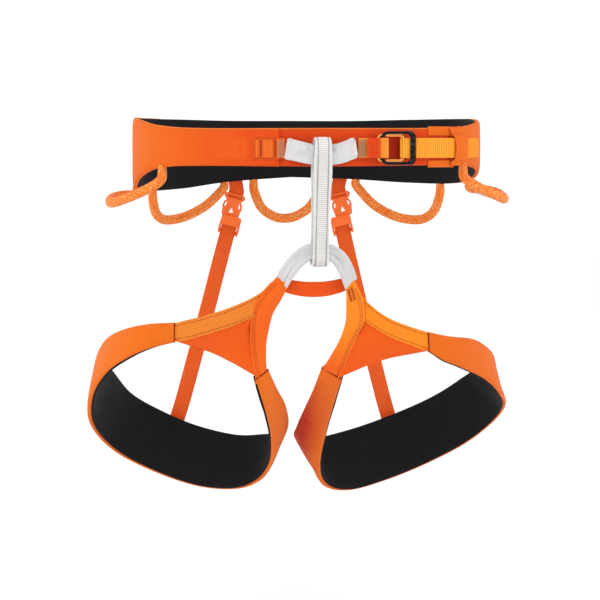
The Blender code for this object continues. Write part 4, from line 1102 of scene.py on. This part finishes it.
def lower_tie_in():
    count = 140
    path = spline(np.array(ARCH_PATH) * MM, even(count))
    along = unit(np.gradient(path, axis=0))
    sides = unit(np.cross(along, np.tile((0, 1.0, 0), (count, 1))))
    share = even(count)
    # The feet are cut at a slant, so that the inner edge runs on past the outer one.
    slant = 0.42 * (np.clip((share - 0.75) / 0.25, 0, 1) - np.clip((0.25 - share) / 0.25, 0, 1))[:, None]
    half = ARCH_WIDTH / 2 + 0.5 * MM * np.sin(math.pi * share)[:, None]
    outer, inner = path + half * (sides - slant * along), path - half * (sides - slant * along)
    inside = (-1 * MM, 0, -110 * MM)
    band = Band(outer, inner, inside)
    length = band.run[-1]

    def creased(run, reach, side):
        near_end = np.exp(-run / (5 * MM)) + np.exp(-(length - run) / (5 * MM))
        fading = 0.55 + 0.45 * np.sin(run / (9 * MM) + 1)
        crease = -1.0 * MM * fading * bump_at(reach + 2.1 * MM, 0.8 * MM * np.sin(run / (8 * MM)), 1.5 * MM)
        second = 0.35 * MM * np.sin(run / (5 * MM) + reach / (2.4 * MM)) * (1 - near_end.clip(0, 1))
        puckers = 0.22 * MM * np.sin(run / (1.1 * MM)) * bump_at(reach, -5.5 * MM, 5 * MM)
        shape = crease + second + puckers
        return np.where(side > 0, shape, 0) - 1.0 * MM * near_end * side
    cover = ribbon("lower_tie_in_cover", band, SLEEVE_THICKNESS / 2, -SLEEVE_THICKNESS / 2, across=27,
                   rounding=6, crown=-0.4 * MM, relief=creased)
    place(cover, "lower_tie_in", "white_webbing", "sleeve", ("lower_tie_in_sleeve",))

    path = spline(np.array(CROSSBAR) * MM, even(260))
    sag = 1.6 * MM * (2 * even(260) - 1) ** 2
    up = np.array((0, 0, CROSSBAR_HEIGHT / 2))
    band = Band(path + up, path - up + sag[:, None] * (0, 0, 1), (0, 0, -120 * MM))

    def ribs(run, reach, side):
        return side * 0.16 * MM * np.cos(2 * math.pi * run / (1.3 * MM))
    bar = ribbon("leg_loop_elastic_crossbar", band, 0.7 * MM, -0.7 * MM, across=9, relief=ribs)
    place(bar, "lower_tie_in", "orange_webbing", "crossbar", ("leg_loop_crossbar",))


def buckle_axes():
    origin = on_belt(BUCKLE_AT, 0, BUCKLE_HEIGHT)[0]
    out = np.append(belt_outward(np.array([BUCKLE_AT]))[0], 0)
    return origin, np.array((-out[1], out[0], 0)), out


def rounded_rectangle(left, right, low, high, radius, straight=14, corner=9):
    points = []
    for x, y, begin in ((right - radius, high - radius, 0), (left + radius, high - radius, 90),
                        (left + radius, low + radius, 180), (right - radius, low + radius, 270)):
        turns = np.radians(begin + np.linspace(0, 90, corner))
        points.append(np.column_stack([x + radius * np.cos(turns), y + radius * np.sin(turns)]))
    joined = []
    for here, there in zip(points, points[1:] + points[:1]):
        share = even(straight + 2)[1:-1, None]
        joined += [here, here[-1] * (1 - share) + there[0] * share]
    return np.concatenate(joined)


def buckle_frame(name, size, wide_bar, left, level, corner, taper):
    """A forged frame: its outer and inner outlines in the buckle's plane, with half-round edges."""
    origin, along, out = buckle_axes()
    right, high = left + size[0], size[1] / 2
    outer = rounded_rectangle(left, right, -high, high, corner)
    inner = rounded_rectangle(left + BUCKLE_BAR, right - wide_bar, BUCKLE_BAR - high, high - BUCKLE_BAR,
                              corner - BUCKLE_BAR * 0.6)

    def placed(points, narrowing=0.0):
        share = (right - points[:, :1]) / size[0]
        upright = points[:, 1:] * (1 - narrowing * share) * (0, 0, 1)
        return origin + points[:, :1] * along + upright + level * out
    return ribbon(name, Band(placed(outer, taper), placed(inner), (0, 0, 0), closed=True), BUCKLE_PLATE / 2,
                  -BUCKLE_PLATE / 2, across=7, rounding=5, crown=0.35 * MM)


def plan_strap(points, width, count):
    path = spline(points, even(count))
    path[:, 2] = np.interp(even(count), (0, 1), (points[0][2], points[-1][2]))
    return strap_ribbon(path, np.tile((0, 0, 1.0), (count, 1)), width, (0, 0, 0))


def waist_buckle():
    origin, along, out = buckle_axes()
    left = -BUCKLE_OUTER[0] / 2
    inner = buckle_frame("buckle_polished_frame", BUCKLE_INNER, BUCKLE_BAR, left - 2.4 * MM,
                         INNER_FRAME_LEVEL, 4 * MM, 0)
    place(inner, "waist_belt", "polished_aluminium", "bright_metal", ("buckle_inner_frame",))
    outer = buckle_frame("buckle_black_frame", BUCKLE_OUTER, BUCKLE_WIDE_BAR, left, OUTER_FRAME_LEVEL,
                         5.5 * MM, 0.02)
    place(outer, "waist_buckle_frame", "anodised_aluminium", "black_metal", ("buckle_outer_frame",))

    # Painted shade: a deep red patch on the tongue behind the buckle stands in for the shade in the buckle's
    # recess.
    distance = np.linspace(50 * MM, 72 * MM, 16)
    half = np.array((0, 0, 10.4 * MM))
    middle = on_belt(distance, -0.35 * MM, BUCKLE_HEIGHT)
    shade_patch = ribbon("buckle_recess_painted_shade_patch", Band(middle + half, middle - half, (0, 0, 0)), 0, -1.0 * MM)
    place(shade_patch, "waist_belt", "shell_fabric", "painted_recess_shade")

    def at_buckle(points):
        return [origin + along * by * MM + out * level * MM for by, level in points]
    low = STRAP_LEVEL
    fold = [on_belt(29.5 * MM, 1.3 * MM, BUCKLE_HEIGHT)[0], on_belt(38 * MM, low, BUCKLE_HEIGHT)[0]]
    fold += at_buckle(((-18.5, 1.1), (-12.9, 1.1), (-10.5, 2.6), (-10.1, 4.9), (-10.6, 7.9), (-13.3, 9.2),
                       (-17.9, 8.0), (-22.7, 4.4), (-27, 3.2)))

    def ribs(pitch, depth):
        return lambda run, reach, side: side * depth * np.cos(2 * math.pi * run / pitch)
    band = plan_strap(fold, WEBBING, 300)
    webbing = ribbon("buckle_webbing_fold", band, 0.6 * MM, -0.6 * MM, across=9,
                     relief=ribs(1.3 * MM, 0.12 * MM))
    place(webbing, "waist_belt", "orange_webbing", "fold", ("buckle_webbing",))
    wrap = [on_belt(distance * MM, low, BUCKLE_HEIGHT)[0] for distance in (134, 110, 88)]
    wrap += at_buckle(((12, 1.1), (8.5, 1.1), (4.3, 1.6), (3.1, 3.3), (4.3, 5.0), (7.5, 5.35), (10.5, 4.75),
                       (14, 3.9), (20, 3.2)))
    wrap += [on_belt(distance * MM, TAIL_LEVEL, BUCKLE_HEIGHT)[0] for distance in (90, 105, 122, 137)]
    wrap.append(on_belt(166 * MM, 1.6 * MM, BUCKLE_HEIGHT)[0])
    band = plan_strap(wrap, WEBBING, 900)
    webbing = ribbon("waist_adjusting_strap", band, 0.6 * MM, -0.6 * MM, across=9,
                     relief=ribs(2.0 * MM, 0.16 * MM))
    place(webbing, "waist_belt", "yellow_webbing", "yellow", ("adjusting_strap",))


def strap_keeper():
    """A band sewn across the belt, arched over the free end of the strap. Its open edge is cut hollow."""
    rows, across = [], 41
    reach = WEBBING / 2 + 1 * MM
    for share in even(16):
        distance = KEEPER_ENDS[0] + (KEEPER_ENDS[1] - KEEPER_ENDS[0]) * share
        top, bottom = belt_edge(distance, 1) - 0.3 * MM, belt_edge(distance, 2) + 0.3 * MM
        profile = spline([(bottom, 0.9 * MM), (BUCKLE_HEIGHT - reach - 2 * MM, 1.2 * MM),
                          (BUCKLE_HEIGHT - reach, 4.3 * MM), (BUCKLE_HEIGHT, 4.9 * MM),
                          (BUCKLE_HEIGHT + reach, 4.3 * MM), (BUCKLE_HEIGHT + reach + 2 * MM, 1.2 * MM),
                          (top, 0.9 * MM)], even(across))
        hollow = 4.0 * MM * ((profile[:, 0] - BUCKLE_HEIGHT) / (17 * MM)) ** 2 * (1 - share)
        rows.append(np.concatenate([on_belt(distance - cut, level, height)
                                    for (height, level), cut in zip(profile, hollow)]))
    rows = np.array(rows)
    band = Band(rows[:, -1], rows[:, 0], (0, 0, 0))
    normals = unit(np.cross(np.gradient(rows, axis=0), np.gradient(rows, axis=1)))
    normals *= np.sign(np.sum(normals[8, 20] * (rows[8, 20] * (1, 1, 0))))
    thick = 1.1 * MM
    rings = np.concatenate([rows + normals * thick / 2, (rows - normals * thick / 2)[:, ::-1]], axis=1)
    cloth = np.zeros((*rings.shape[:2], 3))
    cloth[..., 0] = band.run[:, None]
    cloth[..., 1] = np.concatenate([even(across), even(across)[::-1]]) * 34 * MM
    body = new_body("belt_strap_keeper", rings, ring_faces(*rings.shape[:2], False), cloth)
    rounded(body, 0.35 * MM)
    place(body, "waist_belt", "shell_fabric", "shell", ("strap_keeper",))


def rounded(body, width, segments=2):
    bevel = body.modifiers.new("soft_edges", "BEVEL")
    bevel.width = width
    bevel.segments = segments
    bevel.limit_method = "ANGLE"
    bevel.angle_limit = math.radians(40)


def leg_loop(side):
    left = side == "left"
    rides_on = f"{side}_leg_loop"
    edges = (LEFT_BAND_TOP, LEFT_BAND_BOTTOM) if left else (RIGHT_BAND_TOP, RIGHT_BAND_BOTTOM)
    inside = (-100 * MM, 20 * MM, -230 * MM) if left else (90 * MM, 20 * MM, -230 * MM)
    band = edges_ribbon(edges, 210, inside)
    cover = pad_cover(f"{side}_leg_pad_cover", band, ())
    place(cover, rides_on, "shell_fabric", "leg" if left else "right_leg",
          (f"{side}_leg_shell", f"{side}_leg_foam"))
    share = band.run / band.run[-1]
    at_back = np.clip(2.4 - np.abs(share - 0.52) / 0.11, 0, 1)
    at_front = np.clip(1.6 - np.minimum(share, 1 - share) / 0.13, 0, 1)
    lining_band = widened(band, (1.8 * at_back - 1) * MM, (1.5 * at_front - 1) * MM)
    lining = ribbon(f"{side}_leg_pad_lining", lining_band, -LINING_OUTER, -LINING_INNER, across=11,
                    relief=quilt)
    place(lining, rides_on, "lining_fabric", "lining", (f"{side}_leg_lining",))
    # The end bindings are a real binding, and their dark red also paints the shade at the step where the band
    # ends.
    for end, row in (("outer", 0), ("inner", -1)):
        reach = band.width[row] / 2 * np.linspace(1.0, -1.0, 16)
        line = band.at(np.tile(reach, (len(band.run), 1)), np.full((len(band.run), 16), -0.75 * MM))[row]
        line -= band.along[row, 4] * (0.3 * MM if row == 0 else -0.3 * MM)
        place(tube(f"{side}_leg_{end}_end_binding", line, 0.6 * MM), rides_on, "lining_fabric", "hem")
    yoke(side, inside, rides_on)


def yoke(side, inside, rides_on):
    half = WEBBING_THICKNESS / 2
    left = side == "left"
    upper_edges, medial_edges = (LEFT_UPPER, LEFT_MEDIAL) if left else (RIGHT_UPPER, RIGHT_MEDIAL)
    upper = edges_ribbon(LEFT_UPPER_SEWN if left else RIGHT_UPPER_SEWN, 130, inside)
    medial = edges_ribbon(LEFT_MEDIAL_SEWN if left else RIGHT_MEDIAL_SEWN, 130, inside)
    strap = ribbon(f"{side}_yoke_upper_strap", upper, half, -half, across=13)
    place(strap, rides_on, "yellow_webbing", "diamond" if left else "yoke_yellow",
          (f"{side}_yoke_upper_webbing",))
    strap = ribbon(f"{side}_yoke_medial_strap", medial, half, -half, across=13, crown=0.2 * MM)
    place(strap, rides_on, "orange_webbing", "medial" if left else "right_medial",
          (f"{side}_yoke_medial_webbing",))

    low = spline(np.array(upper_edges[1][1:]) * MM, np.linspace(0.03, 0.995, 40))
    near = spline(np.array(medial_edges[1][1:]) * MM, np.linspace(0.03, 0.995, 40))
    tuck = 3.0 * MM
    across = unit(near - low)
    start, end = low - across * tuck, near + across * tuck
    rows = start[:, None] * (1 - even(25))[:, None] + end[:, None] * even(25)[:, None]
    sag = 4 * MM * even(40)[:, None] * np.sin(math.pi * even(25))
    rows[..., 2] += sag
    rows[..., 1] += 1.1 * MM + 0.5 * MM * np.sin(9 * even(25) + 3 * even(40)[:, None])
    normals = unit(np.cross(np.gradient(rows, axis=0), np.gradient(rows, axis=1)))
    thick = 0.9 * MM
    rings = np.concatenate([rows + normals * thick / 2, (rows - normals * thick / 2)[:, ::-1]], axis=1)
    cloth = np.concatenate([rows, rows[:, ::-1]], axis=1)[..., (0, 2, 1)]
    body = new_body(f"{side}_yoke_triangle_panel", rings, ring_faces(*rings.shape[:2], False), cloth)
    rounded(body, 0.3 * MM)
    place(body, rides_on, "shell_fabric", "panel", (f"{side}_yoke_panel",))

    lines = [seam_line(upper, upper.width / 2 - 2.6 * MM, half),
             seam_line(upper, 2.6 * MM - upper.width / 2, half),
             seam_line(medial, 2.2 * MM - medial.width / 2, half + 0.1 * MM, start=8 * MM),
             seam_line(medial, 4.2 * MM - medial.width / 2, half + 0.1 * MM, start=8 * MM)]
    sewn = stitches(f"{side}_yoke_stitching", lines, radius=0.34 * MM)
    place(sewn, rides_on, "orange_webbing", "rust_thread")
    if not left:
        count = 17
        tacks = [on_band(medial, np.linspace(2, 13, count) * MM + shift * MM,
                         reach * MM + 0.9 * MM * np.where(np.arange(count) % 2, 1, -1), half + 0.35 * MM)
                 for shift, reach in ((3, -0.6), (3, 2.6))]
        place(threads("right_yoke_bar_tack", tacks, 0.4 * MM), rides_on, "orange_webbing", "red_thread")


def rear_axes(side):
    """A rear strap's points, and the directions down it, across it and out from the wearer."""
    points = np.array(REAR_STRAPS[side]) * MM
    down = unit(points[2] - points[1])
    across = unit(np.array((1.0, 0, 0)) - down * down[0])
    out = unit(np.cross(across, down))
    return points, down, across, out if out[1] > 0 else -out


def rear_strap(side):
    """The stub that is sewn to the belt, and the elastic strap from the clip down to the leg loop."""
    points, down, across, _ = rear_axes(side)
    hang_x = points[0][0]
    nearest = BELT_GIRTH / 2 - (hang_x - BELT_CENTRE_X)
    edge = float(belt_edge(nearest, 2))
    sewn = 1.3 * MM
    stub = spline([on_belt(nearest, sewn, edge + 16 * MM)[0], on_belt(nearest, sewn, edge + 2 * MM)[0],
                   points[0] - down * 8 * MM, points[0] + down * 0.8 * MM], even(40))
    turn = np.append(belt_outward(np.array([nearest]))[0], 0)
    flat = np.array((turn[1], -turn[0], 0)) * (1 if turn[1] > 0 else -1)
    sides = [unit(flat * (1 - s) + across * s) for s in np.clip(even(40) * 1.5, 0, 1)]
    inside = (hang_x, 0, points[0][2])
    body = ribbon(f"{side}_rear_strap_stub", strap_ribbon(stub, sides, REAR_WEBBING, inside), 0.6 * MM,
                  -0.6 * MM, across=9)
    place(body, "waist_belt", "orange_webbing", "rear", (f"{side}_rear_stub",))

    low_at = points[1] + down * CATCH_DROP
    path = spline([low_at - down * 7 * MM] + list(points[2:]), even(170))
    tail = path[-1] + np.linspace(0, 1, 22)[1:, None] * (unit(path[-1] - path[-8]) * 26 * MM)
    path = np.vstack([path, tail])
    band = strap_ribbon(path, np.tile(across, (len(path), 1)), REAR_WEBBING, (path[0][0], 0, path[60][2]))
    body = ribbon(f"{side}_rear_elastic_strap", band, 0.6 * MM, -0.6 * MM, across=9)
    place(body, f"{side}_leg_loop", "orange_webbing", "rear", (f"{side}_rear_strap",))


def plate(name, outlines, thickness, bevel, origin, x_axis, y_axis):
    """A moulded plate: flat outlines in millimetres, the first one its edge and the rest its windows."""
    curve = bpy.data.curves.new(name, "CURVE")
    curve.dimensions = "2D"
    curve.fill_mode = "BOTH"
    curve.extrude = thickness / 2 - bevel
    curve.bevel_depth = bevel
    curve.bevel_resolution = 2
    curve.offset = -bevel
    for points in outlines:
        line = curve.splines.new("POLY")
        line.points.add(len(points) - 1)
        for point, (u, v) in zip(line.points, points):
            point.co = (u * MM, v * MM, 0, 1)
        line.use_cyclic_u = True
    flat = bpy.data.objects.new(name + "_outline", curve)
    bpy.context.scene.collection.objects.link(flat)
    bpy.context.view_layer.update()
    mesh = bpy.data.meshes.new_from_object(flat.evaluated_get(bpy.context.evaluated_depsgraph_get()))
    bpy.data.objects.remove(flat)
    mesh.materials.clear()
    x_axis, y_axis = Vector(x_axis).normalized(), Vector(y_axis).normalized()
    z_axis = x_axis.cross(y_axis).normalized()
    turned = Matrix((x_axis, y_axis, z_axis)).transposed().to_4x4()
    mesh.transform(Matrix.Translation(Vector(origin)) @ turned)
    return finished(name, mesh, 35, welded=0.01 * MM)


def oval(x, y, width, height, radius, count=7):
    """A rounded rectangle as outline points."""
    points = []
    for sign_x, sign_y, begin in ((1, 1, 0), (-1, 1, 90), (-1, -1, 180), (1, -1, 270)):
        for turn in np.radians(begin + np.linspace(0, 90, count)):
            points.append((x + sign_x * (width / 2 - radius) + radius * math.cos(turn),
                           y + sign_y * (height / 2 - radius) + radius * math.sin(turn)))
    return points


def rear_clip(side):
    points, down, across, out = rear_axes(side)
    width = CLIP_WIDTH / MM

    # Hook half: a slotted ring, a neck and an arrow that widens into two spring arms.
    ring = points[0] - down * 1.0 * MM
    half = [(0, 3.2), (7.6, 3.2), (9.2, 2.4), (9.8, 0.8), (9.3, -1.0), (7.4, -2.6), (7.0, -3.6), (8.3, -5.2),
            (9.0, -7.4), (9.2, -10.0), (8.4, -12.2), (8.2, -16.0), (7.2, -18.6), (0, -18.9)]
    edge = half + [(-x, y) for x, y in half[-2:0:-1]]
    shoulder = [(5.2, -5.0), (7.0, -6.6), (7.5, -8.8), (6.3, -10.4), (5.9, -8.4)]
    windows = [oval(0, 0.2, 14.6, 2.5, 1.15), [(0, -9.6), (2.1, -14.4), (-2.1, -14.4)],
               shoulder, [(-x, y) for x, y in shoulder[::-1]]]
    hook = plate(f"{side}_clip_hook_half", [edge] + windows, 2.6 * MM, 0.5 * MM, ring - out * 0.4 * MM,
                 across, -down)
    place(hook, "waist_belt", "orange_plastic", "plastic", (f"{side}_clip_hook",))

    # Catch half: a hood over the arrow's point, two rails beside the strap, and a bar behind it.
    low = points[1] + down * CATCH_DROP
    hood = plate(f"{side}_clip_catch_half",
                 [[(-9.2, 12.8), (-8.0, 14.6), (8.0, 14.6), (9.2, 12.8), (9.3, 4.6), (7.0, 5.4), (-7.0, 5.4),
                   (-9.3, 4.6)]], 1.6 * MM, 0.4 * MM, low - out * 2.4 * MM, across, -down)
    place(hood, f"{side}_rear_clip", "orange_plastic", "plastic", (f"{side}_clip_catch",))
    rail = [(7.5, 10.0), (9.2, 10.0), (9.5, 2.0), (9.3, -1.8), (8.5, -3.2), (7.6, -2.0)]
    rails = plate(f"{side}_clip_rails", [rail, [(-x, y) for x, y in rail[::-1]]], 5.4 * MM, 0.7 * MM,
                  low - out * 0.4 * MM, across, -down)
    place(rails, f"{side}_rear_clip", "orange_plastic", "plastic")
    bar = plate(f"{side}_clip_strap_bar", [oval(0, -0.4, width - 0.6, 3.4, 1.4)], 1.8 * MM, 0.5 * MM,
                low + out * 2.0 * MM, across, -down)
    place(bar, f"{side}_rear_clip", "orange_plastic", "plastic")


def gear_loop(name, start, end, drop, bulge, curve):
    start, end = start * MM, end * MM
    if abs(start - end) > BELT_GIRTH / 2:
        end = end + BELT_GIRTH if end < start else end - BELT_GIRTH
    share, hang, lift = np.array(GEAR_CURVES[curve])
    distances = start + (end - start) * share
    middle = -1.95 * MM
    edge = np.interp(even(9), (0, 1), belt_edge(distances[[0, -1]], 2)) - GEAR_END_GAP
    path = spline(on_belt(distances, middle + lift * bulge * MM, edge - hang * drop * MM), even(170))
    # Both ends run on up into the belt, where they are flattened and sewn in.
    reach = np.linspace(4.5 * MM, 0.4 * MM, 8)[:, None] * (0, 0, 1)
    path = np.vstack([path[0] + reach, path, path[-1] + reach[::-1]])
    run = distances_along(path)
    flat = np.exp(-np.minimum(run, run[-1] - run) / (5 * MM))
    body = tube(f"{name}_gear_loop_cover", path, (SHEATH_RADIUS + 0.3 * MM) * (1 - 0.3 * flat), 24)
    place(body, f"{name}_gear_loop", "speckled_sheath", "sheath", (f"{name}_gear_loop_sheath",))


# Stage -------------------------------------------------------------------------------------------------

def soft_light(name, place_at, size, power):
    data = bpy.data.lights.new(name, "AREA")
    data.shape = "SQUARE"
    data.size = size
    data.energy = power
    light = bpy.data.objects.new(name, data)
    light.location = place_at
    light.rotation_mode = "QUATERNION"
    light.rotation_quaternion = (Vector((0, 0, -0.12)) - Vector(place_at)).to_track_quat("-Z", "Y")
    bpy.context.scene.collection.objects.link(light)


def studio():
    world = bpy.data.worlds.new("studio")
    world.use_nodes = True
    world.node_tree.nodes["Background"].inputs[0].default_value = (1, 1, 1, 1)
    world.node_tree.nodes["Background"].inputs[1].default_value = 1.08
    bpy.context.scene.world = world
    bpy.ops.mesh.primitive_circle_add(vertices=96, radius=8, fill_type="NGON", location=(0, 0, -0.40))
    floor = bpy.context.object
    floor.name = "floor"
    pale = Look("pale_floor", Specular_IOR_Level=0.0)
    pale.colour(pale.mix(pale.noise(2), (0.93, 0.93, 0.93, 1), (0.95, 0.95, 0.95, 1)))
    pale.shader.inputs["Roughness"].default_value = 0.9
    floor.data.materials.append(pale.material)
    soft_light("left_softbox", (-1.7, -0.9, 0.55), 1.2, 13)
    soft_light("right_softbox", (1.7, -1.0, 0.5), 1.2, 11)
    bpy.context.scene.view_settings.view_transform = "Standard"


def camera():
    data = bpy.data.cameras.new("camera")
    data.sensor_width = 36
    data.lens = 177.3
    data.clip_end = 50
    eye = bpy.data.objects.new("camera", data)
    azimuth, elevation = math.radians(-8), math.radians(3)
    back = Vector((math.sin(azimuth) * math.cos(elevation), -math.cos(azimuth) * math.cos(elevation),
                   math.sin(elevation)))
    eye.location = (-0.3671, -2.5775, 0.0016)
    eye.rotation_mode = "QUATERNION"
    eye.rotation_quaternion = (-back).to_track_quat("-Z", "Y")
    bpy.context.scene.collection.objects.link(eye)
    bpy.context.scene.camera = eye


def main():
    global look
    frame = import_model()
    look = looks()
    carried_over = {"tie_in_webbing": "white", "lower_tie_in_webbing": "white"}
    carried_over.update({f"{name}_gear_loop_tube": "tube" for name in GEAR_LOOPS})
    for name, finish in carried_over.items():
        materials = frame["nodes"][name].data.materials
        materials.clear()
        materials.append(look[finish])
    waist_belt()
    waist_webbing()
    upper_tie_in()
    belay_loop()
    lower_tie_in()
    waist_buckle()
    strap_keeper()
    for side in ("left", "right"):
        leg_loop(side)
        rear_strap(side)
        rear_clip(side)
    for name, shape in GEAR_LOOPS.items():
        gear_loop(name, *shape)
    studio()
    camera()
    bpy.context.view_layer.update()


main()
